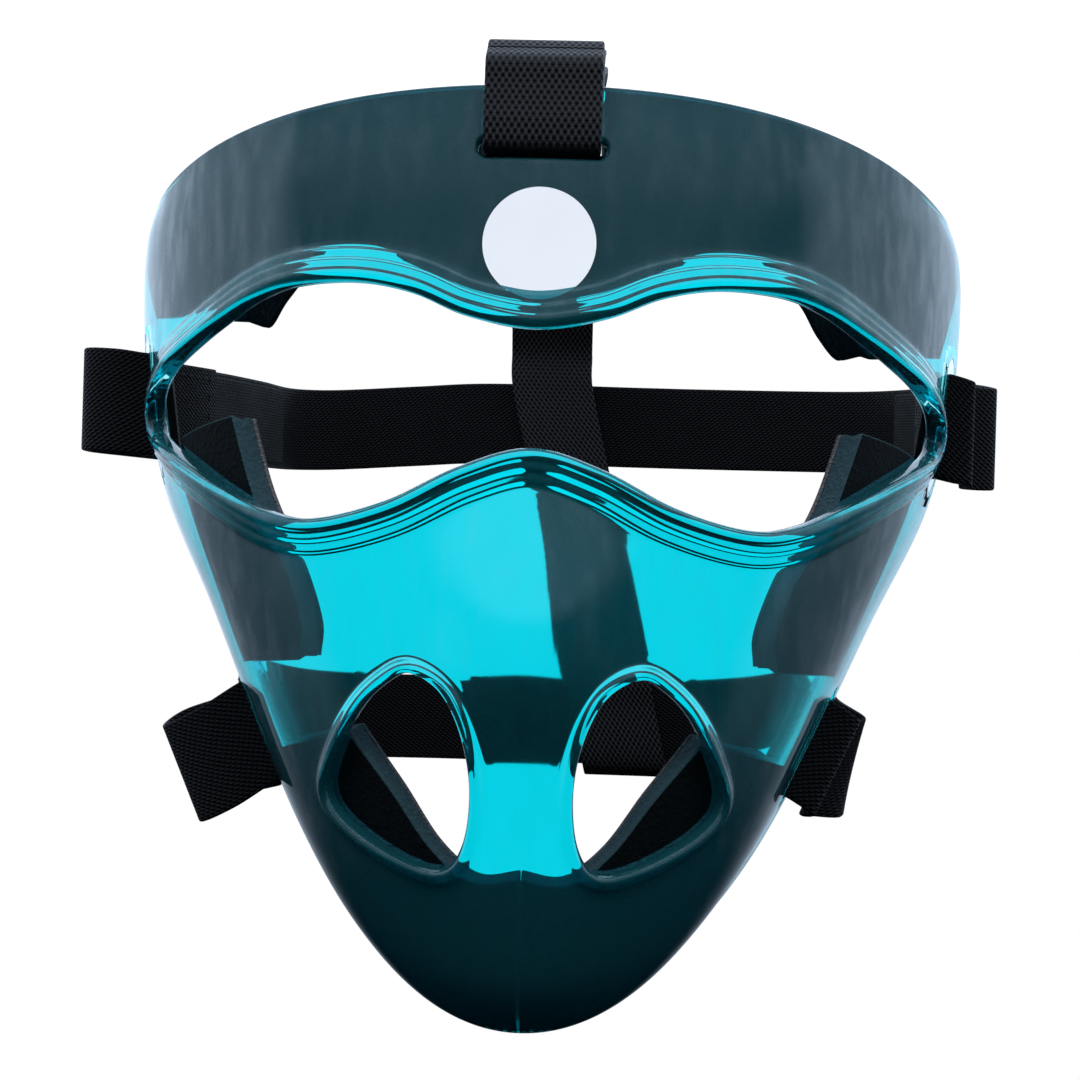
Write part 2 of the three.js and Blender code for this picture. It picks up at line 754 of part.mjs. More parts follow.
// A band with the loop tape, the tail and the hook tape at each of its ends.
function addBand(level) {
  const { line, steps, landings } = bandLine(level);
  const whole = ribbonStations(line, bandWidthAt(level), 1, steps, 1);
  addPiece(`${level}_band`, ribbon(whole, bandWidth, bandThickness, 0), colours.elastic, cloth);
  const offsets = tapeOffsets(bandThickness);
  const tapeWidth = bandWidth - 2 * tapeMargin;
  const inside = shellWall + seatGap + foldGap + bandThickness * half;
  for (const [side, way] of [['left', 1], ['right', -1]]) {
    const frame = sideSlots[`${level}_${side}`];
    const name = `${level}_${side}`;
    const hook = stationsAlong(whole, landings[side], way, hookTapeLength);
    const loop = stationsAlong(whole, landings[side], way, loopTapeLength);
    const turns = [
      besideSlot(frame, -inside, 0),
      belowShell(frame.side, frame.v, inside + foldGap),
    ];
    const tail = tailStations(turns, frame.along, hook, -offsets.tail, way);
    addPiece(`${name}_loop_tape`, ribbon(loop, tapeWidth, loopTapeThickness, -offsets.loop),
      colours.loopTape, cloth);
    addPiece(`${name}_hook_tape`, ribbon(hook, tapeWidth, hookTapeThickness, -offsets.hook),
      colours.hookTape, cloth);
    addPiece(`${name}_tail`, ribbon(tail, bandWidth, bandThickness, 0), colours.elastic, cloth);
  }
}

// The crown strap runs from its hem round the lower band, up inside the upper band, over the
// head, down behind the shell, out through the crown slot and up to the top of its loop.
// Shares of the upper band's depth and of the height at the crown.
const crownRiseShares = [[0.92, 0.40], [0.965, 0.47]];
const crownOverShares = [[0.965, 0.768], [0.90, 0.869], [0.72, 0.967]];
const crownFrontShares = [
  [0.306, 0.967], [0.204, 0.941], [0.143, 0.916], [0.100, 0.897], [0.066, 0.878],
];
const crownLoopShares = [1, 2, 3, 4];
const keeperShares = [-0.5, -0.31, 0.31, 0.5];
const hemInnerShares = [0.7, 1.15];

// How far the strap leans to the wearer's left behind the head, by height.
function crownLeanAt(height) {
  const dropped = (upperBandBackHeight - height) / (upperBandBackHeight - lowerBandBackHeight);
  return Math.max(crownLean * dropped, -crownFarLean);
}

// The hem goes down outside the lower band, under it and up inside.
function crownHem() {
  const out = (bandThickness + webbingThickness) * half + crossingGap;
  const edge = lowerBandBackHeight - bandWidth * half;
  const turns = [
    [out, edge + crownHemLength], [out, edge], [0, edge - out], [-out, edge],
    ...hemInnerShares.map((share) => [-out, edge + share * bandWidth]),
  ];
  return turns.map(([outward, height]) =>
    place(crownLeanAt(height), lowerBandBackDepth + outward, height));
}

// The strap's middle behind the upper band, and the keeper's, at a distance out from the band's.
function crossingLine(outward) {
  return keeperShares.map((share) => {
    const height = upperBandBackHeight + share * keeperLength;
    return place(crownLeanAt(height), upperBandBackDepth + outward, height);
  });
}

const crossingOut = (bandThickness + webbingThickness) * half + crossingGap;

function crownLine() {
  const shared = ([depth, height]) => place(0, depth * upperBandBackDepth, height * crownTopHeight);
  const leaning = ([depth, height]) => shared([depth, height])
    .setX(crownLeanAt(height * crownTopHeight));
  const behindShell = -shellWall - 2 * webbingThickness;
  const rear = [...crownHem(), ...crownRiseShares.map(leaning), ...crossingLine(-crossingOut)];
  const over = [...crownOverShares.map(leaning), place(0, crownTopDepth, crownTopHeight)];
  const loop = [
    besideSlot(crownSlot, behindShell, 2 * crownLoopPitch),
    besideSlot(crownSlot, behindShell, crownLoopPitch),
    besideSlot(crownSlot, -shellWall, seatGap),
    besideSlot(crownSlot, seatGap, 0),
    ...crownLoopShares.map((share) => besideSlot(crownSlot, webbingThickness, share * crownLoopPitch)),
    place(0, crownLoopDepth, shellHeight + crownLoopRise),
  ];
  const points = [...rear, ...over, ...crownFrontShares.map(shared), ...loop];
  const landing = (rear.length + over.length + 2) * stepsBetweenPoints;
  return { line: strapLine(points), steps: (points.length - 1) * stepsBetweenPoints, landing };
}

function addCrownStrap() {
  const { line, steps, landing } = crownLine();
  const across = new THREE.Vector3(1, 0, 0);
  const whole = ribbonStations(line, () => across, 1, steps, 1);
  addPiece('crown_strap', ribbon(whole, webbingWidth, webbingThickness, 0), colours.webbing, cloth);
  const offsets = tapeOffsets(webbingThickness);
  const tapeWidth = webbingWidth - 2 * tapeMargin;
  const hook = stationsAlong(whole, landing, -1, crownHookTapeLength);
  const loop = stationsAlong(whole, landing, -1, crownLoopTapeLength);
  const onward = [foldGap, crownLoopPitch].map((distance) =>
    line.getPoint(1).addScaledVector(line.getTangent(1), distance));
  const tail = tailStations(onward, across, hook, offsets.tail, -1);
  addPiece('crown_loop_tape', ribbon(loop, tapeWidth, loopTapeThickness, offsets.loop),
    colours.loopTape, cloth);
  addPiece('crown_hook_tape', ribbon(hook, tapeWidth, hookTapeThickness, offsets.hook),
    colours.hookTape, cloth);
  addPiece('crown_tail', ribbon(tail, webbingWidth, webbingThickness, 0), colours.webbing, cloth);
}

// The keeper is sewn to the crown strap above and below the upper band, which it holds.
function addKeeper() {
  const across = new THREE.Vector3(1, 0, 0);
  const line = strapLine(crossingLine(crossingOut));
  const stations = ribbonStations(line, () => across, 1, stepsBetweenPoints, 1);
  addPiece('band_keeper', ribbon(stations, webbingWidth, webbingThickness, 0), colours.webbing, cloth);
}

addPiece('shell', shellGeometry(), colours.shell, glossy);
addPads();
addBand('upper');
addBand('lower');
addCrownStrap();
addKeeper();

export default part;
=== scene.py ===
"""Face guard: a clear teal moulded shell, foam pads and a harness of elastic and webbing.

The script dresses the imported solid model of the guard. The frame is in metres, with +Z up, the
wearer looking along -Y and the origin in the middle of the forehead pad's inner face. The forms
are worked out in millimetres and scaled once, when a mesh is finished.
"""
from __future__ import annotations

import logging
import math
from dataclasses import dataclass, field, replace
from enum import Enum
from typing import Callable, Sequence

import bmesh
import bpy
import numpy as np
from mathutils import Matrix, Vector

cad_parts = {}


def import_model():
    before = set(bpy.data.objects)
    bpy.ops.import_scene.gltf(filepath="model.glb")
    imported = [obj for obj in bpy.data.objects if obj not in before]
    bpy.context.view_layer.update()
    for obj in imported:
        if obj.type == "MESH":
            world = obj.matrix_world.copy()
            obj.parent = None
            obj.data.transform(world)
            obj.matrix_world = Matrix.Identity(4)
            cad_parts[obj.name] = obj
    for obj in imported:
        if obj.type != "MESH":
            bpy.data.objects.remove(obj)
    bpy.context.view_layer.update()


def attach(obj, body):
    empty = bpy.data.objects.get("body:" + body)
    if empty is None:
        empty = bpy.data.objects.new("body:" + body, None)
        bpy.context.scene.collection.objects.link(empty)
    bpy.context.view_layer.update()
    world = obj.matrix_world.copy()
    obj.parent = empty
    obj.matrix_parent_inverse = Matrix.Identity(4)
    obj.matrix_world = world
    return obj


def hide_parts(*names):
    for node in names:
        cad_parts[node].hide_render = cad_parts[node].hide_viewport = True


LOG = logging.getLogger("face_guard")
MM = 0.001
HEAD_DEPTH = 12.6
HEAD_HEIGHT = 180.0
WALL = 3.0
SEAT_GAP = 0.3
BOND_DEPTH = 0.04
FOLD_GAP = 0.6
CROSSING_GAP = 0.8
SLOPE_STEP = 0.002
WELD = 1e-4
SIDEWAYS = np.array([1.0, 0.0, 0.0])
CORNER_ANGLE = math.radians(50)
ROUND_STEPS = 3
STRAP_COLUMNS = 14
BODY = "guard"

Points = np.ndarray
Table = Sequence[Sequence[float]]


class Side(Enum):
    """A side of the guard, as the wearer has it."""

    LEFT = 1
    RIGHT = -1

    @property
    def word(self) -> str:
        """The side as a word in a piece's name."""
        return self.name.lower()


class Level(Enum):
    """The two elastic bands, by where they run."""

    UPPER = "upper"
    LOWER = "lower"


def unit(rows: Points) -> Points:
    """Scale vectors to length one.

    Args:
        rows: Vectors along the last axis.

    Returns:
        The unit vectors.
    """
    return rows / np.linalg.norm(rows, axis=-1, keepdims=True)


def place(across: float, depth: float, height: float) -> Points:
    """A point from a distance across, a depth behind the brow and a height above the chin."""
    return np.array([across, depth - HEAD_DEPTH, height - HEAD_HEIGHT])


def curve_points(points: Points, shares: Points, closed: bool = False, knots: float = 0.0) -> Points:
    """Read points off a smooth curve through control points.

    Args:
        points: The control points.
        shares: Shares of the way along, from 0 to 1, with equal shares to each span.
        closed: True for a loop.
        knots: Power of the chord's square that spaces the knots: 0 for even ones.

    Returns:
        One point for each share.
    """
    count = len(points)
    spans = count if closed else count - 1
    along = np.clip(np.asarray(shares, float), 0.0, 1.0) * spans
    first = np.minimum(np.floor(along).astype(int), spans - 1)
    t = (along - first)[:, None]
    if closed:
        p0, p1, p2, p3 = (points[(first + k) % count] for k in (-1, 0, 1, 2))
    else:
        padded = np.vstack([2 * points[0] - points[1], points, 2 * points[-1] - points[-2]])
        p0, p1, p2, p3 = (padded[first + k] for k in (0, 1, 2, 3))
    if knots:
        d0, d1, d2 = (np.sum((b - a) ** 2, axis=1, keepdims=True) ** knots
                      for a, b in ((p0, p1), (p1, p2), (p2, p3)))
        m1 = ((p1 - p0) / d0 - (p2 - p0) / (d0 + d1) + (p2 - p1) / d1) * d1
        m2 = ((p2 - p1) / d1 - (p3 - p1) / (d1 + d2) + (p3 - p2) / d2) * d1
    else:
        m1, m2 = (p2 - p0) / 2, (p3 - p1) / 2
    return (p1 + m1 * t + (3 * (p2 - p1) - 2 * m1 - m2) * t ** 2
            + (2 * (p1 - p2) + m1 + m2) * t ** 3)


@dataclass(frozen=True)
class ShellForm:
    """The outer face of the moulded shell, as a row of sections from the centre to the rear edge."""

    half_width: float = 100.5
    height: float = 206.0
    depth: float = 69.0
    flare: float = 0.12
    nose_rise: float = 9.0
    nose_half_width: float = 19.0
    nose_half_height: float = 27.0
    nose_height: float = 86.0
    search_turns: int = 30
    search_stride: float = 0.1
    search_low: float = 5e-4
    search_high: float = 0.995
    centre: Table = (
        (0.50, 0.030), (0.25, 0.0), (0.055, 0.045), (-0.02, 0.130), (-0.055, 0.250),
        (-0.065, 0.400), (-0.05, 0.550), (-0.025, 0.690), (0.0, 0.820), (0.02, 0.915), (0.058, 0.995),
    )
    edge: Table = (
        (0.260, 0.600, 0.046), (0.388, 0.660, 0.090), (0.492, 0.715, 0.150), (0.583, 0.765, 0.222),
        (0.675, 0.820, 0.312), (0.794, 0.885, 0.437), (0.925, 0.957, 0.568), (0.985, 1.0, 0.690),
        (1.0, 0.995, 0.795), (0.985, 0.930, 0.865), (0.935, 0.790, 0.908),
    )
    fronts: Sequence[float] = (0.50, 0.58, 0.68, 0.76, 0.80, 0.80, 0.78, 0.74, 0.72, 0.72, 0.74)
    walls: Sequence[float] = (0.20, 0.28, 0.38, 0.46, 0.52, 0.52, 0.48, 0.44, 0.42, 0.40, 0.36)

    def centre_line(self, v: Points) -> Points:
        """Points of the centre line at shares v of the way up."""
        rows = np.array([place(0.0, d * self.depth, h * self.height) for d, h in self.centre])
        return curve_points(rows, v)

    def rear_edge(self, v: Points) -> Points:
        """Points of the left rear edge.

        Args:
            v: Shares of the way up.

        Returns:
            The points, in millimetres.
        """
        rows = np.array([place(a * self.half_width, d * self.depth, h * self.height)
                         for a, d, h in self.edge])
        return curve_points(rows, v)

    def point(self, u: Points, v: Points) -> Points:
        """Points of the outer face.

        Args:
            u: Shares of the way across, from -1 to 1.
            v: Shares of the way up, from 0 at the chin to 1 at the top.

        Returns:
            The points, in millimetres.
        """
        u, v = np.broadcast_arrays(np.asarray(u, float), np.asarray(v, float))
        centre, edge = self.centre_line(v), self.rear_edge(v)
        depth = edge[:, 1] - centre[:, 1]
        shares = np.column_stack([self.fronts, self.walls])
        front_share, wall_share = curve_points(shares, v).T
        front = centre.copy()
        front[:, 0] = centre[:, 0] + front_share * edge[:, 0]
        wall = edge.copy()
        wall[:, 0] -= self.flare * depth
        wall[:, 1] -= wall_share * depth
        t = np.abs(u)[:, None]
        s = 1 - t
        out = s ** 3 * centre + 3 * s * s * t * front + 3 * s * t * t * wall + t ** 3 * edge
        nose_across = out[:, 0] / self.nose_half_width
        nose_up = (out[:, 2] + HEAD_HEIGHT - self.nose_height) / self.nose_half_height
        out[:, 1] -= self.nose_rise * np.exp(-nose_across ** 2 - nose_up ** 2)
        out[:, 0] *= np.sign(u)
        return out

    def normal(self, u: Points, v: Points) -> Points:
        """Outward normals at places on the face.

        Args:
            u: Shares of the way across.
            v: Shares of the way up.

        Returns:
            The unit normals.
        """
        u, v = np.broadcast_arrays(np.asarray(u, float), np.asarray(v, float))
        across = (self.point(np.minimum(u + SLOPE_STEP, 1), v)
                  - self.point(np.maximum(u - SLOPE_STEP, -1), v))
        up = (self.point(u, np.minimum(v + SLOPE_STEP, 1))
              - self.point(u, np.maximum(v - SLOPE_STEP, 0)))
        return unit(np.cross(across, up))

    def lifted(self, u: Points, v: Points, lift: Points) -> Points:
        """Points at heights above the face, negative for below it."""
        return self.point(u, v) + self.normal(u, v) * np.asarray(lift, float).reshape(-1, 1)

    def slopes(self, u: Points, v: Points) -> tuple[Points, Points, Points]:
        """Points of the face, and how they move with u and with v.

        Args:
            u: Shares of the way across.
            v: Shares of the way up.

        Returns:
            The points, their change by u and their change by v.
        """
        here = self.point(u, v)
        by_u = (self.point(u + SLOPE_STEP, v) - here) / SLOPE_STEP
        by_v = (self.point(u, v + SLOPE_STEP) - here) / SLOPE_STEP
        return here, by_u, by_v

    def find(self, across: Points, height: Points) -> tuple[Points, Points]:
        """Find the places seen at distances across and heights above the chin.

        Args:
            across: Distances across, in millimetres.
            height: Heights above the chin, in millimetres.

        Returns:
            The shares u across and v up.
        """
        across = np.asarray(across, float)
        side, target = np.abs(across), np.asarray(height, float) - HEAD_HEIGHT
        u, v = np.full(side.shape, 0.5), np.full(side.shape, 0.5)
        for _ in range(self.search_turns):
            here, by_u, by_v = self.slopes(u, v)
            miss_x, miss_z = side - here[:, 0], target - here[:, 2]
            area = by_u[:, 0] * by_v[:, 2] - by_v[:, 0] * by_u[:, 2]
            step_u = (miss_x * by_v[:, 2] - miss_z * by_v[:, 0]) / area
            step_v = (miss_z * by_u[:, 0] - miss_x * by_u[:, 2]) / area
            u, v = (np.clip(share + np.clip(step, -self.search_stride, self.search_stride),
                            self.search_low, self.search_high)
                    for share, step in ((u, step_u), (v, step_v)))
        return np.where(across < 0, -u, u), v

    def walk(self, u: Points, v: Points, step: Points) -> tuple[Points, Points]:
        """Move places over the face by short vectors that lie along it.

        Args:
            u: Shares of the way across.
            v: Shares of the way up.
            step: The vectors, in millimetres.

        Returns:
            The new shares across and up.
        """
        _, by_u, by_v = self.slopes(u, v)
        a, b, c = (np.sum(p * q, axis=1) for p, q in ((by_u, by_u), (by_u, by_v), (by_v, by_v)))
        d, e = np.sum(by_u * step, axis=1), np.sum(by_v * step, axis=1)
        area = a * c - b * b
        return u + (d * c - e * b) / area, v + (e * a - d * b) / area


@dataclass(frozen=True)
class SlotFrame:
    """A strap slot: its middle, its long way, the way over the shell's edge, and the normal.

    Attributes:
        point: Its middle, on the outer face.
        along: Its long way.
        over: The way over the shell's edge.
        out: The face's normal.
        section: Share of the way up at which it lies.
    """

    point: Points
    along: Points
    over: Points
    out: Points
    section: float

    def beside(self, outward: float, over: float) -> Points:
        """A point at a distance out of the face and a distance over towards the edge."""
        return self.point + self.out * outward + self.over * over


@dataclass(frozen=True)
class Slots:
    """The five strap slots of the shell."""

    form: ShellForm = ShellForm()
    side_inset: float = 9.5
    side_length: float = 30.5
    side_width: float = 7.0
    upper_height: float = 138.02
    lower_height: float = 61.594
    crown_height: float = 190.9
    crown_length: float = 27.8
    crown_width: float = 4.2

    def side(self, level: Level, side: Side) -> SlotFrame:
        """The slot of a band on one side of the shell.

        Args:
            level: The band.
            side: The side.

        Returns:
            The slot's frame.
        """
        height = self.upper_height if level is Level.UPPER else self.lower_height
        shares = np.arange(0.0, 1.0, SLOPE_STEP)
        v = shares[np.argmax(self.form.rear_edge(shares)[:, 2] + HEAD_HEIGHT >= height)]
        inner = np.arange(1.0, 0.0, -SLOPE_STEP)
        run = np.linalg.norm(self.form.point(inner, v) - self.form.point([1.0], [v]), axis=1)
        u = side.value * inner[np.argmax(run >= self.side_inset)]
        along = (self.form.rear_edge([v + SLOPE_STEP]) - self.form.rear_edge([v - SLOPE_STEP]))[0]
        along[0] *= side.value
        return self.frame(u, v, along, -side.value)

    def crown(self) -> SlotFrame:
        """The slot at the top of the forehead.

        Returns:
            The slot's frame.
        """
        _, v = self.form.find([SLOPE_STEP], [self.crown_height])
        frame = self.frame(0.0, v[0], np.array([1.0, 0.0, 0.0]), 1)
        return replace(frame, over=frame.over * np.sign(frame.over[2]))

    def frame(self, u: float, v: float, along: Points, turn: int) -> SlotFrame:
        """A slot's frame at a place on the face.

        Args:
            u: Share of the way across.
            v: Share of the way up.
            along: The slot's long way, which is laid along the face.
            turn: 1 or -1, the sense of the way over the edge.

        Returns:
            The frame.
        """
        out = self.form.normal([u], [v])[0]
        along = unit(along - out * (along @ out))
        return SlotFrame(self.form.point([u], [v])[0], along, turn * np.cross(out, along), out, v)


# Mesh building


def mapped_grid(bm: bmesh.types.BMesh, places: Points, closed: bool = False,
                uvs: Points | None = None) -> list[bmesh.types.BMVert]:
    """Lay a grid over an array of places.

    Args:
        bm: The mesh to add to.
        places: Places by column and row, shaped (columns, rows, 3).
        closed: True where the last column falls on the first one.
        uvs: Places on the flat cloth for each grid point, shaped (columns, rows, 2).

    Returns:
        The grid's points, less those that the seam welds.
    """
    columns, rows = places.shape[:2]
    made = bmesh.ops.create_grid(bm, x_segments=columns - 1, y_segments=rows - 1, size=1.0)["verts"]
    cells = {vert: (round((vert.co.x + 1) / 2 * (columns - 1)), round((vert.co.y + 1) / 2 * (rows - 1)))
             for vert in made}
    if uvs is not None:
        layer = bm.loops.layers.uv.verify()
        for face in {face for vert in made for face in vert.link_faces}:
            for loop in face.loops:
                loop[layer].uv = uvs[cells[loop.vert]]
    for vert, cell in cells.items():
        vert.co = Vector(places[cell])
    if closed:
        seam = [vert for vert, (column, _) in cells.items() if column in (0, columns - 1)]
        bmesh.ops.remove_doubles(bm, verts=seam, dist=WELD)
    return [vert for vert in made if vert.is_valid]


def border(bm: bmesh.types.BMesh) -> list[bmesh.types.BMEdge]:
    """The edges that have one face."""
    return [edge for edge in bm.edges if edge.is_boundary]


def everything(bm: bmesh.types.BMesh) -> list:
    """The points, edges and faces of a mesh."""
    return bm.verts[:] + bm.edges[:] + bm.faces[:]


def thicken(bm: bmesh.types.BMesh, rim: list[bmesh.types.BMEdge], thickness: float, radius: float,
            turned: bool = True) -> None:
    """Give a flat sheet its second face and a rounded rim.

    Args:
        bm: The sheet, with its height above the shell in Z.
        rim: The edges of its rim.
        thickness: How far the second face lies below the first.
        radius: Radius of the rim's two edges.
        turned: True to turn the second face over before the two are welded.
    """
    copy = bmesh.ops.duplicate(bm, geom=everything(bm))["geom"]
    wall = bmesh.ops.extrude_edge_only(bm, edges=rim)["geom"]
    moved = [item for item in copy + wall if isinstance(item, bmesh.types.BMVert)]
    for vert in moved:
        vert.co.z -= thickness
    if turned:
        faces = [item for item in copy if isinstance(item, bmesh.types.BMFace)]
        bmesh.ops.reverse_faces(bm, faces=faces)
    bmesh.ops.remove_doubles(bm, verts=moved, dist=WELD)
    bmesh.ops.recalc_face_normals(bm, faces=bm.faces)
    corners = [edge for edge in bm.edges if len(edge.link_faces) == 2
               and edge.calc_face_angle(0.0) > CORNER_ANGLE]
    bmesh.ops.bevel(bm, geom=corners, offset=radius, offset_type="OFFSET", segments=ROUND_STEPS,
                    profile=0.5, affect="EDGES", material=-1, clamp_overlap=True)


def finish_mesh(bm: bmesh.types.BMesh, name: str, sharp: float = 40.0) -> bpy.types.Object:
    """Turn a mesh in millimetres into an object in metres.

    Args:
        bm: The mesh, which is freed.
        name: The piece's name.
        sharp: Angle in degrees past which an edge stays sharp.

    Returns:
        The object, at the origin.
    """
    bmesh.ops.scale(bm, vec=(MM, MM, MM), verts=bm.verts)
    for face in bm.faces:
        face.smooth = True
    for edge in bm.edges:
        edge.smooth = edge.calc_face_angle(math.pi) < math.radians(sharp)
    mesh = bpy.data.meshes.new(name)
    bm.to_mesh(mesh)
    bm.free()
    piece = bpy.data.objects.new(name, mesh)
    bpy.context.scene.collection.objects.link(piece)
    return piece


def dress(bm: bmesh.types.BMesh, name: str, finish: bpy.types.Material, slot: str, body: str,
          *nodes: str, sharp: float = 40.0) -> bpy.types.Object:
    """Make a piece, give it its finish and its body, and hide the solids that it stands for.

    Args:
        bm: Its mesh in millimetres, which is freed.
        name: Its name.
        finish: Its material.
        slot: The record's material slot; not used.
        body: The body that it rides on.
        nodes: The solids that it replaces.
        sharp: Angle in degrees past which an edge stays sharp.

    Returns:
        The piece.
    """
    piece = finish_mesh(bm, name, sharp)
    piece.data.materials.append(finish)
    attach(piece, body)
    if nodes:
        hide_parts(*nodes)
    LOG.info("%s: %d faces on %s", piece.name, len(piece.data.polygons), body)
    return piece


# Finishes


class NodeSheet:
    """A short way to lay nodes in a tree."""

    def __init__(self, tree: bpy.types.NodeTree) -> None:
        """Keep the tree that the nodes go into."""
        self.tree = tree

    def add(self, kind: str, inputs: dict | None = None, **settings: object) -> bpy.types.Node:
        """Add a node.

        Args:
            kind: The node's type.
            inputs: Values or output sockets by input name or number.
            settings: Attributes of the node.

        Returns:
            The node.
        """
        node = self.tree.nodes.new(kind)
        for key, value in settings.items():
            setattr(node, key, value)
        self.feed(node, inputs or {})
        return node

    def fill(self, socket: bpy.types.NodeSocket, value: object) -> None:
        """Link an input to an output, or give it a plain value.

        Args:
            socket: The input.
            value: An output's socket or a plain value.
        """
        if isinstance(value, bpy.types.NodeSocket):
            self.tree.links.new(value, socket)
        else:
            socket.default_value = value

    def feed(self, node: bpy.types.Node, inputs: dict) -> None:
        """Fill a node's inputs by name or number."""
        for key, value in inputs.items():
            self.fill(node.inputs[key], value)

    def math(self, operation: str, *values: object) -> bpy.types.NodeSocket:
        """Add a sum, product or other operation and give its result."""
        node = self.add("ShaderNodeMath", dict(enumerate(values)), operation=operation)
        return node.outputs[0]

    def ramp(self, value: object, start: float, stop: float, low: float = 0.0,
             high: float = 1.0) -> bpy.types.NodeSocket:
        """Turn a value smoothly from one level to another between two marks.

        Args:
            value: The value or its socket.
            start: The first mark.
            stop: The second mark.
            low: The result at the first mark.
            high: The result at the second.

        Returns:
            The result's socket.
        """
        node = self.add("ShaderNodeMapRange", {"Value": value, "From Min": start, "From Max": stop,
                                               "To Min": low, "To Max": high},
                        interpolation_type="SMOOTHSTEP")
        return node.outputs[0]

    def mix(self, share: object, first: object, second: object) -> bpy.types.NodeSocket:
        """Mix two colours.

        Args:
            share: Share of the second colour.
            first: The first colour or its socket.
            second: The second.

        Returns:
            The mixed colour's socket.
        """
        node = self.add("ShaderNodeMix", {"Factor": share}, data_type="RGBA")
        for key, value in (("A", first), ("B", second)):
            self.fill(next(s for s in node.inputs if s.name == key and s.type == "RGBA"), value)
        return next(s for s in node.outputs if s.type == "RGBA")


def new_group(name: str, inputs: dict[str, float],
              outputs: Sequence[str]) -> tuple[NodeSheet, bpy.types.Node, bpy.types.Node]:
    """Start a shader node group.

    Args:
        name: The group's name.
        inputs: Names and values of its number inputs, after a Vector input.
        outputs: Names of its number outputs.

    Returns:
        A sheet to lay nodes on, and the group's input and output nodes.
    """
    tree = bpy.data.node_groups.new(name, "ShaderNodeTree")
    tree.interface.new_socket("Vector", in_out="INPUT", socket_type="NodeSocketVector")
    for key, value in inputs.items():
        socket = tree.interface.new_socket(key, in_out="INPUT", socket_type="NodeSocketFloat")
        socket.default_value = value
    for key in outputs:
        tree.interface.new_socket(key, in_out="OUTPUT", socket_type="NodeSocketFloat")
    sheet = NodeSheet(tree)
    return sheet, sheet.add("NodeGroupInput"), sheet.add("NodeGroupOutput")


def new_material(name: str) -> tuple[bpy.types.Material, NodeSheet, bpy.types.Node, bpy.types.Node]:
    """Start a material.

    Args:
        name: The material's name.

    Returns:
        The material, a sheet to lay nodes on, its shader and its texture coordinates.
    """
    material = bpy.data.materials.new(name)
    material.use_nodes = True
    sheet = NodeSheet(material.node_tree)
    shader = material.node_tree.nodes["Principled BSDF"]
    return material, sheet, shader, sheet.add("ShaderNodeTexCoord")


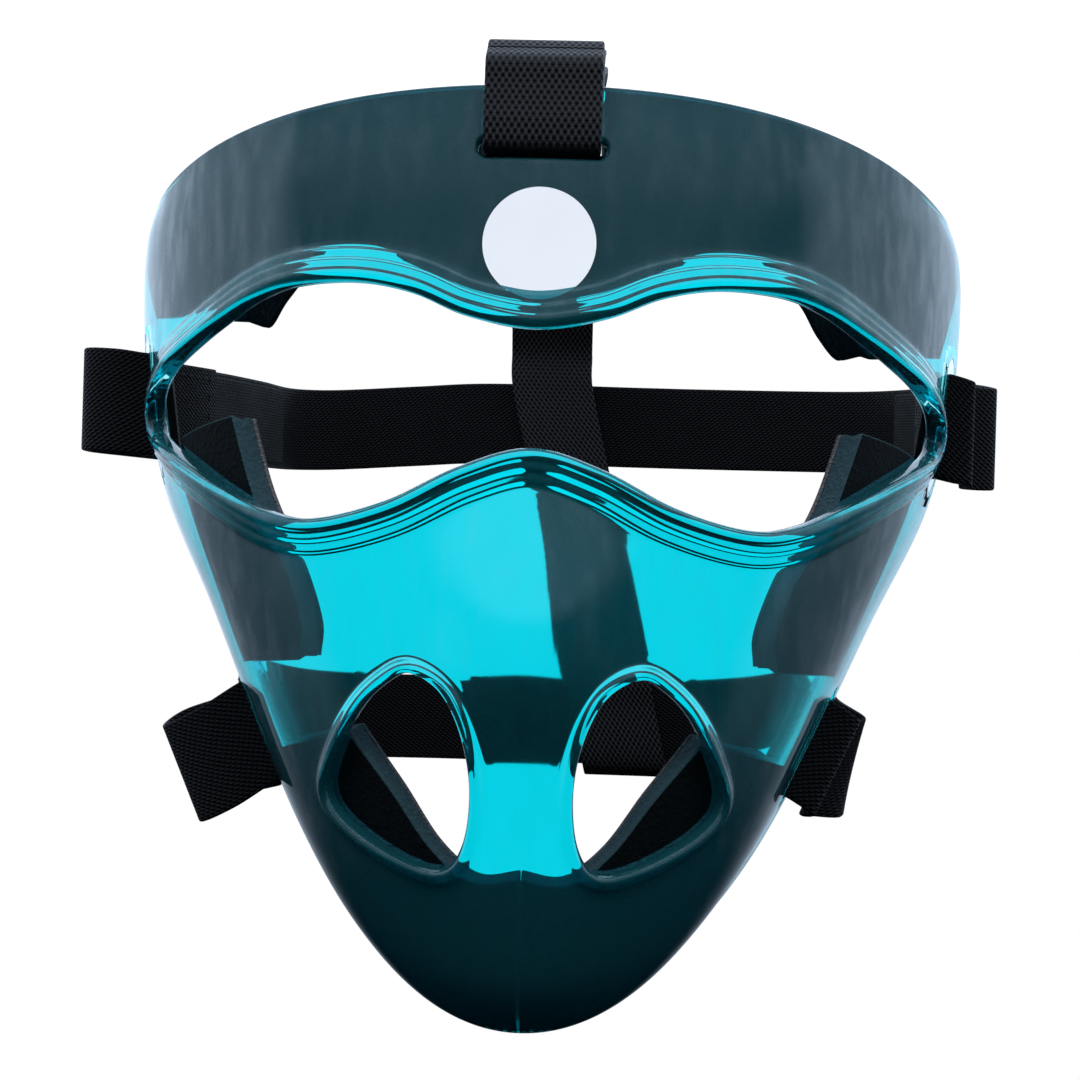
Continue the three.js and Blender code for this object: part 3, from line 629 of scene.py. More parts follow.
class Effects:
    """The shared effects: woven threads, slanted ribs, lint and foam pores."""

    def __init__(self) -> None:
        """Build each group once."""
        self.weave = self.build_weave()
        self.ribs = self.build_ribs()
        self.lint = self.build_lint()
        self.pores = self.build_pores()

    @staticmethod
    def build_weave() -> bpy.types.NodeTree:
        """Threads of a plain weave: raised crowns in a chequer, with dark gaps between.

        Returns:
            The group.
        """
        sheet, source, sink = new_group("Woven threads", {"Along": 0.002, "Across": 0.002},
                                        ["Height", "Gap"])
        axes = sheet.add("ShaderNodeSeparateXYZ", {0: source.outputs["Vector"]})
        along = sheet.math("DIVIDE", axes.outputs["X"], source.outputs["Along"])
        across = sheet.math("DIVIDE", axes.outputs["Y"], source.outputs["Across"])
        waves = [sheet.math("SINE", sheet.math("MULTIPLY", value, 2 * math.pi))
                 for value in (along, across)]
        crown = sheet.math("MULTIPLY", *waves)
        height = sheet.math("MULTIPLY_ADD", crown, 0.5, 0.5)
        gap = sheet.math("SUBTRACT", 1.0, sheet.math("ABSOLUTE", crown))
        sheet.feed(sink, {"Height": height, "Gap": sheet.math("POWER", gap, 3.0)})
        return sheet.tree

    @staticmethod
    def build_ribs() -> bpy.types.NodeTree:
        """Fine ribs that slant across a band, broken along their length by the cross threads.

        Returns:
            The group.
        """
        sheet, source, sink = new_group(
            "Slanted ribs", {"Pitch": 0.0016, "Slant": 1.4, "Thread": 0.0008}, ["Height", "Gap"])
        axes = sheet.add("ShaderNodeSeparateXYZ", {0: source.outputs["Vector"]})
        slanted = sheet.math("MULTIPLY_ADD", axes.outputs["Y"], source.outputs["Slant"],
                             axes.outputs["X"])
        rib = sheet.math("MULTIPLY", sheet.math("DIVIDE", slanted, source.outputs["Pitch"]), math.pi)
        rib = sheet.math("ABSOLUTE", sheet.math("SINE", rib))
        cross = sheet.math("DIVIDE", axes.outputs["Y"], source.outputs["Thread"])
        cross = sheet.math("SINE", sheet.math("MULTIPLY", cross, 2 * math.pi))
        height = sheet.math("MULTIPLY_ADD", cross, 0.14, sheet.math("SQRT", rib))
        gap = sheet.math("POWER", sheet.math("SUBTRACT", 1.0, rib), 2.0)
        sheet.feed(sink, {"Height": height, "Gap": gap})
        return sheet.tree

    @staticmethod
    def build_lint() -> bpy.types.NodeTree:
        """Broad soft fading and small pale specks of lint.

        Returns:
            The group.
        """
        sheet, source, sink = new_group("Lint and fading", {"Scale": 900.0}, ["Fade", "Specks"])
        broad = sheet.add("ShaderNodeTexNoise", {"Vector": source.outputs["Vector"], "Scale": 45.0,
                                                 "Detail": 3.0})
        fine = sheet.add("ShaderNodeTexNoise", {"Vector": source.outputs["Vector"],
                                                "Scale": source.outputs["Scale"], "Detail": 2.0})
        specks = sheet.add("ShaderNodeMapRange", {"Value": fine.outputs[0], "From Min": 0.66,
                                                  "From Max": 0.74})
        sheet.feed(sink, {"Fade": broad.outputs[0], "Specks": specks.outputs[0]})
        return sheet.tree

    @staticmethod
    def build_pores() -> bpy.types.NodeTree:
        """Closed-cell foam: small round pores of two sizes.

        Returns:
            The group.
        """
        sheet, source, sink = new_group("Foam pores", {"Scale": 1400.0}, ["Height", "Gap"])
        cells = [sheet.add("ShaderNodeTexVoronoi", {"Vector": source.outputs["Vector"],
                                                    "Scale": scale})
                 for scale in (source.outputs["Scale"],
                               sheet.math("MULTIPLY", source.outputs["Scale"], 0.45))]
        height = sheet.math("MULTIPLY", cells[0].outputs["Distance"], cells[1].outputs["Distance"])
        gap = sheet.math("SUBTRACT", 1.0, sheet.math("SMOOTH_MIN", height, 1.0, 0.2))
        sheet.feed(sink, {"Height": height, "Gap": gap})
        return sheet.tree


@dataclass(frozen=True)
class ClearFinish:
    """Clear teal polycarbonate: the tint comes from the depth of plastic that light crosses."""

    name: str = "clear_teal"
    surface: tuple[float, ...] = (0.10, 0.82, 0.99, 1.0)
    depth_colour: tuple[float, ...] = (0.0, 0.9667, 0.9704, 1.0)
    depth_density: float = 1350.0
    refraction: float = 1.5
    cloudiness: float = 0.03
    haze: float = 0.78
    haze_roughness: float = 0.35
    roughness: float = 0.012
    unevenness: float = 0.05
    streak_turn: tuple[float, ...] = (0.0, 0.6, 0.0)
    streak_stretch: tuple[float, ...] = (1.0, 1.0, 0.3)
    streak_marks: tuple[float, float] = (0.40, 0.72)

    def build(self, effects: Effects) -> bpy.types.Material:
        """Make the material.

        Args:
            effects: The shared effects.

        Returns:
            The material.
        """
        material, sheet, shader, spot = new_material(self.name)
        place_on = spot.outputs["Object"]
        lint = sheet.add("ShaderNodeGroup", {"Vector": place_on}, node_tree=effects.lint)
        rough = sheet.math("MULTIPLY_ADD", lint.outputs["Fade"], self.unevenness, self.roughness)
        brushed = sheet.add("ShaderNodeMapping", {"Vector": place_on, "Rotation": self.streak_turn,
                                                  "Scale": self.streak_stretch})
        streaks = sheet.add("ShaderNodeTexNoise", {"Vector": brushed.outputs[0], "Scale": 260.0,
                                                   "Detail": 6.0, "Roughness": 0.65})
        haze = sheet.ramp(streaks.outputs[0], *self.streak_marks, 0.0, self.haze)
        ripple = sheet.add("ShaderNodeTexNoise", {"Vector": place_on, "Scale": 40.0, "Detail": 1.0})
        bump = sheet.add("ShaderNodeBump", {"Height": ripple.outputs[0], "Strength": 0.08,
                                            "Distance": 0.0006})
        sheet.feed(shader, {"Base Color": self.surface, "Metallic": 0.0, "IOR": self.refraction,
                            "Transmission Weight": 1.0 - self.cloudiness, "Roughness": rough,
                            "Coat Weight": haze, "Coat Roughness": self.haze_roughness,
                            "Normal": bump.outputs[0]})
        depth = sheet.add("ShaderNodeVolumeAbsorption", {"Color": self.depth_colour,
                                                         "Density": self.depth_density})
        sheet.feed(material.node_tree.nodes["Material Output"], {"Volume": depth.outputs[0]})
        return material


class Pattern(Enum):
    """How a soft finish is made."""

    RIBS = "ribs"
    WEAVE = "weave"
    PORES = "pores"


@dataclass(frozen=True)
class SoftFinish:
    """A cloth, tape or foam: a base colour, darker gaps, pale lint and raised threads."""

    name: str
    colour: tuple[float, ...]
    gap_colour: tuple[float, ...]
    pattern: Pattern
    values: dict[str, float] = field(default_factory=dict)
    relief: float = 0.00025
    strength: float = 0.8
    roughness: float = 0.85
    lint_share: float = 0.25
    lint_colour: tuple[float, ...] = (0.30, 0.31, 0.32, 1.0)
    gloss: float = 0.12
    unevenness: float = 0.12
    mark_edges: tuple[float, float] = (-0.1, 0.2)
    marks: dict[str, tuple[float, ...]] = field(default_factory=dict)

    def build(self, effects: Effects) -> bpy.types.Material:
        """Make the material.

        Args:
            effects: The shared effects.

        Returns:
            The material.
        """
        material, sheet, shader, spot = new_material(self.name)
        cloth = spot.outputs["Object" if self.pattern is Pattern.PORES else "UV"]
        threads = sheet.add("ShaderNodeGroup", {"Vector": cloth, **self.values},
                            node_tree=getattr(effects, self.pattern.value))
        lint = sheet.add("ShaderNodeGroup", {"Vector": spot.outputs["Object"]},
                         node_tree=effects.lint)
        base = sheet.mix(threads.outputs["Gap"], self.colour, self.gap_colour)
        for spread in ("Fade", "Specks"):
            share = sheet.math("MULTIPLY", lint.outputs[spread], self.lint_share)
            base = sheet.mix(share, base, self.lint_colour)
        for mark, colour in self.marks.items():
            where = sheet.add("ShaderNodeAttribute", attribute_name=mark)
            base = sheet.mix(sheet.ramp(where.outputs["Fac"], *self.mark_edges), base, colour)
        rough = sheet.math("MULTIPLY_ADD", lint.outputs["Fade"], self.unevenness,
                           self.roughness - self.unevenness / 2)
        bump = sheet.add("ShaderNodeBump", {"Height": threads.outputs["Height"],
                                            "Strength": self.strength, "Distance": self.relief})
        sheet.feed(shader, {"Base Color": base, "Roughness": rough, "Metallic": 0.0,
                            "Specular IOR Level": self.gloss, "Normal": bump.outputs[0]})
        return material


@dataclass(frozen=True)
class PlainFinish:
    """Print or thread: one colour with a soft uneven sheen."""

    name: str
    colour: tuple[float, ...]
    shade: tuple[float, ...]
    roughness: float
    unevenness: float = 0.1

    def build(self, effects: Effects) -> bpy.types.Material:
        """Make the material.

        Args:
            effects: The shared effects.

        Returns:
            The material.
        """
        material, sheet, shader, spot = new_material(self.name)
        lint = sheet.add("ShaderNodeGroup", {"Vector": spot.outputs["Object"]},
                         node_tree=effects.lint)
        rough = sheet.math("MULTIPLY_ADD", lint.outputs["Fade"], self.unevenness, self.roughness)
        sheet.feed(shader, {"Base Color": sheet.mix(lint.outputs["Fade"], self.colour, self.shade),
                            "Roughness": rough, "Metallic": 0.0})
        return material


class Finishes:
    """Every material of the guard."""

    def __init__(self) -> None:
        """Build the shared effects and then each finish."""
        effects = Effects()
        self.clear = ClearFinish().build(effects)
        # Foam: the bond mark is the adhesive film's tint on the outer face, faded darker towards the chin
        # as painted shade; the bare mark is black where the foam lies open in an opening.
        self.foam = SoftFinish("black_foam", (0.022, 0.036, 0.044, 1), (0.008, 0.014, 0.018, 1),
                               Pattern.PORES, relief=0.0004, lint_share=0.05,
                               marks={"bond": (0.010, 0.058, 0.076, 1),
                                      "bare": (0.0015, 0.0025, 0.0032, 1)}).build(effects)
        self.liner = SoftFinish("pad_liner", (0.090, 0.086, 0.098, 1), (0.035, 0.034, 0.039, 1),
                                Pattern.PORES, {"Scale": 2600.0}, relief=0.0006, strength=1.0,
                                lint_share=0.3).build(effects)
        self.elastic = SoftFinish("ribbed_elastic", (0.0040, 0.0038, 0.0048, 1),
                                  (0.0010, 0.0010, 0.0012, 1), Pattern.RIBS, strength=1.0,
                                  relief=0.0005, lint_share=0.05, gloss=0.1, roughness=0.6,
                                  lint_colour=(0.03, 0.03, 0.032, 1)).build(effects)
        self.webbing = SoftFinish("woven_webbing", (0.0115, 0.0105, 0.0125, 1),
                                  (0.0012, 0.0012, 0.0014, 1), Pattern.WEAVE,
                                  {"Along": 0.0024, "Across": 0.0015}, relief=0.0006, strength=1.0,
                                  lint_share=0.04, lint_colour=(0.04, 0.04, 0.042, 1),
                                  gloss=0.22, roughness=0.5).build(effects)
        self.loop_tape = SoftFinish("loop_pile", (0.0035, 0.0035, 0.0045, 1), (0.0012, 0.0012, 0.0015, 1),
                                    Pattern.RIBS, {"Pitch": 0.0013, "Slant": 0.4}, relief=0.0004,
                                    strength=1.0, lint_share=0.08).build(effects)
        self.hook_tape = SoftFinish("hook_pile", (0.0030, 0.0030, 0.0035, 1), (0.0012, 0.0012, 0.0014, 1),
                                    Pattern.WEAVE, {"Along": 0.0022, "Across": 0.0022},
                                    relief=0.0006, strength=1.0, lint_share=0.05).build(effects)
        self.thread = PlainFinish("sewing_thread", (0.004, 0.004, 0.005, 1),
                                  (0.010, 0.010, 0.011, 1), 0.7).build(effects)
        self.print = PlainFinish("white_print", (0.86, 0.87, 0.90, 1), (0.76, 0.78, 0.83, 1),
                                 0.35).build(effects)


# The shell


@dataclass(frozen=True)
class Opening:
    """An opening of the shell: the places of its edge, and its lip's section.

    Attributes:
        u: Shares across, round the edge.
        v: Shares up, round the edge.
        section: Distances from the edge and heights above the face, from the outer face to the
            inner one.
    """

    u: Points
    v: Points
    section: Table


@dataclass(frozen=True)
class Shell:
    """The clear moulded shell with its rolled lips, strap slots and printed disc."""

    form: ShellForm = ShellForm()
    slots: Slots = Slots()
    flat_width: float = 130.0
    flat_height: float = 250.0
    columns: int = 168
    rows: int = 150
    clearance: float = 1.0
    rim_radius: float = 0.9
    eye_half_span: float = 92.0
    eye_bottom: float = 111.3
    eye_height: float = 50.5
    eye_steps: int = 360
    vent_inset: float = 10.8
    vent_width: float = 31.4
    vent_bottom: float = 38.5
    vent_height: float = 41.0
    vent_steps: int = 150
    slot_steps: int = 20
    slot_strides: int = 8
    hole_margin: float = 4.0
    disc_height: float = 170.4
    disc_radius: float = 12.0
    disc_thickness: float = 0.06
    disc_bottom: float = 0.01
    disc_turns: int = 72
    disc_rows: int = 9
    disc_weld: float = 0.004
    eye_upper: Table = (
        (1, 0.47), (0.985, 0.56), (0.93, 0.66), (0.85, 0.75), (0.76, 0.845), (0.67, 0.935),
        (0.57, 0.99), (0.42, 1), (0.29, 0.955), (0.16, 0.86), (0, 0.81),
    )
    eye_lower: Table = (
        (0, 0.31), (0.16, 0.23), (0.33, 0.08), (0.5, 0), (0.62, 0.03), (0.74, 0.13),
        (0.85, 0.24), (0.94, 0.33), (0.985, 0.39),
    )
    vent: Table = (
        (0.42, 1), (0.20, 0.91), (0.06, 0.70), (0, 0.42), (0.04, 0.14), (0.18, 0),
        (0.48, 0.05), (0.84, 0.2), (0.99, 0.35), (0.92, 0.57), (0.765, 0.80), (0.59, 0.94),
    )
    lip: Table = (
        (9.0, 0), (8.3, 0.02), (7.8, 0.14), (7.45, 0.42), (7.1, 0.72), (6.6, 0.86), (5.9, 0.95),
        (5.4, 1.05), (5.1, 1.25), (4.8, 1.6), (4.4, 1.82), (3.8, 1.92), (3.2, 2.02), (2.8, 2.2),
        (2.4, 2.48), (2.0, 2.6), (1.4, 2.6), (0.8, 2.42), (0.35, 2.0), (0.08, 1.4), (0, 0.7),
        (0, -0.6), (0.05, -1.4), (0.3, -1.95), (0.8, -2.25), (1.6, -2.35), (3.0, -2.4),
        (4.5, -2.5), (6, -2.7), (7.4, -2.92), (9.0, -3.0),
    )
    vent_lip: Table = (
        (4.2, 0), (3.8, 0.02), (3.4, 0.1), (3.1, 0.3), (2.8, 0.6), (2.5, 0.95), (2.15, 1.25),
        (1.8, 1.46), (1.45, 1.58), (1.1, 1.6), (0.75, 1.48), (0.45, 1.22), (0.2, 0.84), (0.05, 0.36),
        (0, -0.2), (0, -1.1), (0.08, -1.7), (0.35, -2.2), (0.85, -2.5), (1.5, -2.68), (2.4, -2.82),
        (3.3, -2.94), (4.2, -3.0),
    )
    slot_edge: Table = (
        (2.4, 0), (1.6, 0), (0.9, -0.03), (0.45, -0.15), (0.15, -0.45), (0, -0.9), (0, -2.1),
        (0.15, -2.55), (0.45, -2.85), (0.9, -2.97), (1.6, -3), (2.4, -3),
    )

    def build(self, finishes: Finishes) -> None:
        """Build the shell and its printed disc.

        Args:
            finishes: The materials.
        """
        openings = [self.eye(), self.mouth_vent(Side.LEFT), self.mouth_vent(Side.RIGHT)]
        openings += [self.slot(self.slots.side(level, side), self.slots.side_length,
                               self.slots.side_width) for level in Level for side in Side]
        openings.append(self.slot(self.slots.crown(), self.slots.crown_length,
                                  self.slots.crown_width))
        rings = [self.offsets(opening) for opening in openings]
        bm = self.walls([ring[0] for ring in rings])
        for ring, opening in zip(rings, openings):
            heights = np.array([height for _, height in opening.section])
            places = self.flat(ring[..., 0], ring[..., 1],
                               np.broadcast_to(heights[:, None], ring.shape[:2]))
            looped = np.concatenate([places, places[:, :1]], axis=1)
            mapped_grid(bm, looped.transpose(1, 0, 2), closed=True)
        bmesh.ops.remove_doubles(bm, verts=bm.verts, dist=WELD)
        bmesh.ops.recalc_face_normals(bm, faces=bm.faces)
        self.lift(bm)
        dress(bm, "clear_shell", finishes.clear, "polycarbonate", BODY, "shell", sharp=60.0)
        self.disc(finishes)

    def flat(self, u: Points, v: Points, height: Points) -> Points:
        """Lay places out flat, at their heights above the face."""
        return np.stack([u * self.flat_width, v * self.flat_height, height], axis=-1)

    def lift(self, bm: bmesh.types.BMesh) -> None:
        """Move a mesh from the flat layout onto the shell's face.

        Args:
            bm: The mesh.
        """
        flat = np.array([vert.co for vert in bm.verts])
        u = np.clip(flat[:, 0] / self.flat_width, -1, 1)
        v = np.clip(flat[:, 1] / self.flat_height, 0, 1)
        for vert, point in zip(bm.verts, self.form.lifted(u, v, flat[:, 2])):
            vert.co = Vector(point)

    def eye(self) -> Opening:
        """The opening for the eyes, across the nose bridge.

        Returns:
            The opening.
        """
        size = np.array([self.eye_half_span, self.eye_height])
        upper, lower = np.array(self.eye_upper) * size, np.array(self.eye_lower) * size
        mirror = np.array([-1, 1])
        outline = np.vstack([upper, upper[-2::-1] * mirror, lower[:0:-1] * mirror, lower])
        outline[:, 1] += self.eye_bottom
        return self.outlined(outline, self.eye_steps, self.lip)

    def mouth_vent(self, side: Side) -> Opening:
        """One of the two leaning drops in front of the mouth.

        Args:
            side: Its side.

        Returns:
            The opening.
        """
        rows = np.array(self.vent)
        across = side.value * (self.vent_inset + rows[:, 0] * self.vent_width)
        outline = np.column_stack([across, self.vent_bottom + rows[:, 1] * self.vent_height])
        return self.outlined(outline, self.vent_steps, self.vent_lip)

    def outlined(self, outline: Points, steps: int, lip: Table) -> Opening:
        """An opening with a rolled lip.

        Args:
            outline: Distances across and heights above the chin.
            steps: Places round the edge.
            lip: The lip's section.

        Returns:
            The opening.
        """
        edge = curve_points(outline, np.arange(steps) / steps, closed=True)
        u, v = self.form.find(edge[:, 0], edge[:, 1])
        return Opening(u, v, lip)

    def slot(self, frame: SlotFrame, length: float, width: float) -> Opening:
        """A strap slot with round ends.

        Args:
            frame: Where it is.
            length: Its whole length.
            width: Its width.

        Returns:
            The opening.
        """
        radius, straight = width / 2, (length - width) / 2
        turn = np.linspace(0, math.pi, self.slot_steps)
        sides = np.linspace(straight, -straight, self.slot_steps)[1:-1]
        arc = np.column_stack([radius * np.cos(turn), straight + radius * np.sin(turn)])
        side = np.column_stack([np.full(sides.shape, -radius), sides])
        half = np.vstack([arc, side])
        steps = np.vstack([half, -half])
        place_u, place_v = self.place_of(frame.point)
        u, v = np.full(len(steps), place_u), np.full(len(steps), place_v)
        move = (steps[:, :1] * frame.over + steps[:, 1:] * frame.along) / self.slot_strides
        for _ in range(self.slot_strides):
            u, v = self.form.walk(u, v, move)
        return Opening(u, v, self.slot_edge)

    def place_of(self, point: Points) -> tuple[float, float]:
        """The shares across and up of a point on the face.

        Args:
            point: The point, in millimetres.

        Returns:
            The share across and the share up.
        """
        u, v = self.form.find([point[0] if abs(point[0]) > 0.01 else 0.01],
                              [point[2] + HEAD_HEIGHT])
        return u[0], v[0]

    def offsets(self, opening: Opening) -> Points:
        """Walk an opening's edge out over the face to each distance of its section.

        Args:
            opening: The opening.

        Returns:
            Shares across and up, shaped (rows, places, 2).
        """
        u, v = opening.u, opening.v
        points = self.form.point(u, v)
        ways = unit(np.cross(np.roll(points, -1, 0) - np.roll(points, 1, 0), self.form.normal(u, v)))
        ways *= np.sign(np.sum(ways * (points - points.mean(axis=0)), axis=1).mean())
        reached, rings = 0.0, {0.0: np.stack([u, v], axis=-1)}
        for distance in sorted({row[0] for row in opening.section} - {0}):
            out = self.form.normal(u, v)
            ways = unit(ways - out * np.sum(ways * out, axis=1, keepdims=True))
            u, v = self.form.walk(u, v, ways * (distance - reached))
            reached = distance
            rings[float(distance)] = np.stack([u, v], axis=-1)
        return np.stack([rings[float(row[0])] for row in opening.section])

    def walls(self, rings: Sequence[Points]) -> bmesh.types.BMesh:
        """The outer and inner walls, laid out flat, joined at the outer rim and open at the rings.

        Args:
            rings: The places round each opening's lip.

        Returns:
            The mesh.
        """
        bm = bmesh.new()
        bmesh.ops.create_grid(bm, x_segments=self.columns, y_segments=self.rows, size=1.0)
        for vert in bm.verts:
            vert.co = (vert.co.x * self.flat_width, (vert.co.y + 1) / 2 * self.flat_height, 0)
        perimeter = border(bm)
        for ring in rings:
            self.open_ring(bm, ring)
        thicken(bm, perimeter, WALL, self.rim_radius, turned=False)
        return bm

    def open_ring(self, bm: bmesh.types.BMesh, ring: Points) -> None:
        """Cut a hole in the flat wall, and fill it up to a ring.

        Args:
            bm: The flat wall.
            ring: The places round the ring.
        """
        flat = np.array([vert.co for vert in bm.verts])
        loop = self.flat(ring[:, 0], ring[:, 1], np.zeros(len(ring)))
        low, high = loop.min(axis=0) - self.hole_margin, loop.max(axis=0) + self.hole_margin
        near = np.flatnonzero(np.all((flat >= low) & (flat <= high), axis=1))
        spots = flat[near]
        inside = self.within(spots, loop)
        gaps = np.linalg.norm(spots[:, None, :] - loop[None, :, :], axis=2).min(axis=1)
        bm.verts.ensure_lookup_table()
        doomed = [bm.verts[int(index)] for index in near[inside | (gaps < self.clearance)]]
        before = set(border(bm))
        bmesh.ops.delete(bm, geom=doomed, context="VERTS")
        hole = [edge for edge in border(bm) if edge not in before]
        circle = bmesh.ops.create_circle(bm, segments=len(ring), radius=1.0)["verts"]
        for vert, spot in zip(circle, loop):
            vert.co = Vector(spot)
        edges = list({edge for vert in circle for edge in vert.link_edges})
        bmesh.ops.triangle_fill(bm, use_beauty=True, edges=hole + edges, normal=(0, 0, 1))

    @staticmethod
    def within(spots: Points, loop: Points) -> Points:
        """Tell which spots of the flat layout lie inside a closed loop.

        Args:
            spots: The spots.
            loop: The loop's points in order.

        Returns:
            True for each spot inside.
        """
        nexts = np.roll(loop, -1, axis=0)
        x, y = spots[:, :1], spots[:, 1:2]
        rise = np.where(nexts[:, 1] == loop[:, 1], 1, nexts[:, 1] - loop[:, 1])
        crosses = ((loop[:, 1] > y) != (nexts[:, 1] > y)) & (
            x < (nexts[:, 0] - loop[:, 0]) * (y - loop[:, 1]) / rise + loop[:, 0])
        return crosses.sum(axis=1) % 2 == 1

    def disc(self, finishes: Finishes) -> None:
        """The plain white disc printed on the forehead.

        Args:
            finishes: The materials.
        """
        centre_u, centre_v = self.form.find([0.05], [self.disc_height])
        point = self.form.point(centre_u, centre_v)[0]
        bm = bmesh.new()
        turns, rows = self.disc_turns, self.disc_rows
        angles = np.linspace(0, 2 * math.pi, turns + 1)
        radii = np.linspace(0.0, self.disc_radius, rows)
        across = radii[None, :] * np.cos(angles)[:, None]
        up = radii[None, :] * np.sin(angles)[:, None]
        u, v = self.form.find((point[0] + across).ravel(), (self.disc_height + up).ravel())
        for height in (self.disc_thickness, self.disc_bottom):
            places = self.form.lifted(u, v, np.full(u.shape, height)).reshape(turns + 1, rows, 3)
            mapped_grid(bm, places, closed=True)
        bmesh.ops.remove_doubles(bm, verts=bm.verts, dist=self.disc_weld)
        bmesh.ops.bridge_loops(bm, edges=border(bm))
        bmesh.ops.recalc_face_normals(bm, faces=bm.faces)
        dress(bm, "printed_disc", finishes.print, "polycarbonate", BODY)


# Pads


@dataclass(frozen=True)
class Pads:
    """The forehead, cheek and jaw pads: black foam with a rough fabric liner."""

    shell: Shell = Shell()
    forehead_thickness: float = 8.0
    side_thickness: float = 5.5
    liner_thickness: float = 1.0
    notch_half_width: float = 13.4
    foam_notch_bottom: float = 189.5
    liner_notch_bottom: float = 193.8
    meeting_gap: float = 0.16
    edge_radius: float = 1.1
    liner_radius: float = 0.4
    shaded_share: float = 0.4
    side_pull: float = 0.5
    forehead_columns: int = 150
    side_columns: int = 60
    rows: int = 26
    brow_left: Table = (
        (0, 0.775), (0.20, 0.787), (0.37, 0.827), (0.52, 0.827), (0.63, 0.793), (0.69, 0.757),
        (0.75, 0.733), (0.80, 0.741), (0.86, 0.738), (0.93, 0.744),
    )
    brow_right: Table = (
        (0, 0.775), (0.20, 0.787), (0.37, 0.827), (0.52, 0.827), (0.63, 0.783), (0.685, 0.752),
        (0.735, 0.760), (0.80, 0.761), (0.925, 0.766),
    )
    forehead_upper: Table = (
        (0, 0.999), (0.20, 0.999), (0.40, 0.999), (0.58, 0.999), (0.74, 0.997), (0.88, 0.98),
        (0.95, 0.935), (0.96, 0.85),
    )
    cheek_front: Table = (
        (0.515, 0.39), (0.505, 0.427), (0.545, 0.485), (0.600, 0.528), (0.648, 0.573),
        (0.706, 0.650),
    )
    cheek_rear: Table = (
        (0.660, 0.379), (0.705, 0.427), (0.750, 0.480), (0.790, 0.525), (0.825, 0.568),
        (0.868, 0.628),
    )
    left_cheek_shift: float = 0.03
    right_cheek_shift: float = -0.01
    jaw_front: Table = ((0.395, 0.322), (0.29, 0.262), (0.195, 0.203), (0.10, 0.172), (0, 0.177))
    jaw_rear: Table = ((0.80, 0.375), (0.80, 0.30), (0.76, 0.22), (0.50, 0.10), (0, 0.035))

    def build(self, finishes: Finishes) -> None:
        """Build each pad's foam and liner.

        Args:
            finishes: The materials.
        """
        size = (self.shell.form.half_width, self.shell.form.height)
        left, right = np.array(self.brow_left) * size, np.array(self.brow_right) * size
        lower = np.vstack([right[:0:-1] * (-1, 1), left])
        first = self.found(curve_points(lower, np.linspace(0, 1, self.forehead_columns)))
        upper = np.array(self.forehead_upper)
        upper = np.vstack([upper[:0:-1] * (-1, 1), upper])
        second = curve_points(upper, np.linspace(0, 1, self.forehead_columns))
        self.pad(finishes, "forehead_pad", first, second, self.forehead_thickness, notched=True)
        for side in Side:
            shift = self.left_cheek_shift if side is Side.LEFT else self.right_cheek_shift
            front, rear = (self.sized(np.array(shares) + (shift, 0), side)
                           for shares in (self.cheek_front, self.cheek_rear))
            self.pad(finishes, f"{side.word}_cheek_pad", front, rear, self.side_thickness)
            front = self.sized(self.jaw_front, side)
            under = curve_points(np.array(self.jaw_rear), np.linspace(0, 1, self.side_columns))
            under[:, 0] = side.value * np.maximum(under[:, 0], abs(front[-1, 0]))
            self.pad(finishes, f"{side.word}_jaw_pad", front, under, self.side_thickness)

    def found(self, rows: Points) -> Points:
        """Places on the face from distances across and heights above the chin."""
        return np.column_stack(self.shell.form.find(rows[:, 0], rows[:, 1]))

    def sized(self, shares: Table, side: Side) -> Points:
        """Places along a side pad's edge from shares of the shell's half width and height.

        Args:
            shares: Shares across and up, as seen from the front.
            side: The pad's side.

        Returns:
            Shares across and up the shell's face.
        """
        rows = np.array(shares) * (self.shell.form.half_width, self.shell.form.height)
        rows[:, 0] = np.maximum(rows[:, 0], self.meeting_gap / 2)
        rows = curve_points(rows * (side.value, 1), np.linspace(0, 1, self.side_columns))
        return self.found(rows)

    def pad(self, finishes: Finishes, name: str, first: Points, second: Points, thickness: float,
            notched: bool = False) -> None:
        """Build one pad's foam and liner.

        Args:
            finishes: The materials.
            name: The pad's name, as in its solids' names.
            first: Places along one edge.
            second: Places along the other.
            thickness: The foam's thickness.
            notched: True where the crown strap passes through the pad's upper edge.
        """
        liner_near = WALL + thickness + 2 * SEAT_GAP
        for kind, block, finish, near, far, radius, mark in (
                ("foam", "foam_block", finishes.foam, WALL - BOND_DEPTH, WALL + SEAT_GAP + thickness,
                 self.edge_radius, self.bonded),
                ("liner", "fabric_liner", finishes.liner, liner_near,
                 liner_near + self.liner_thickness, self.liner_radius, None)):
            layer = self.layer(first, second, notched, near, far, radius, mark)
            piece = dress(layer, f"{name}_{block}", finish, kind, BODY, f"{name}_{kind}")

    def bonded(self, bm: bmesh.types.BMesh, near: float) -> None:
        """Mark the outer face's bond tint, faded darker towards the chin as painted shade, and how far
        inside an opening of the shell it lies bare.

        Args:
            bm: The foam, laid out flat.
            near: Depth of its outer face below the shell's.
        """
        shell = self.shell
        rings = [shell.flat(opening.u, opening.v, np.zeros(len(opening.u)))
                 for opening in (shell.eye(), shell.mouth_vent(Side.LEFT), shell.mouth_vent(Side.RIGHT))]
        bare = bm.verts.layers.float.new("bare")
        bond = bm.verts.layers.float.new("bond")
        spots = np.array([vert.co for vert in bm.verts])
        depths = np.max([self.depth_inside(spots, ring) for ring in rings], axis=0)
        for vert, depth in zip(bm.verts, depths):
            outer = vert.co.z > -near - BOND_DEPTH
            # The bond tint ramps up from nothing at the chin over the lowest shaded share of the height:
            # painted shade that darkens the chin.
            vert[bond] = outer * min(vert.co.y / shell.flat_height / self.shaded_share, 1.0)
            vert[bare] = float(depth) if outer else -1.0

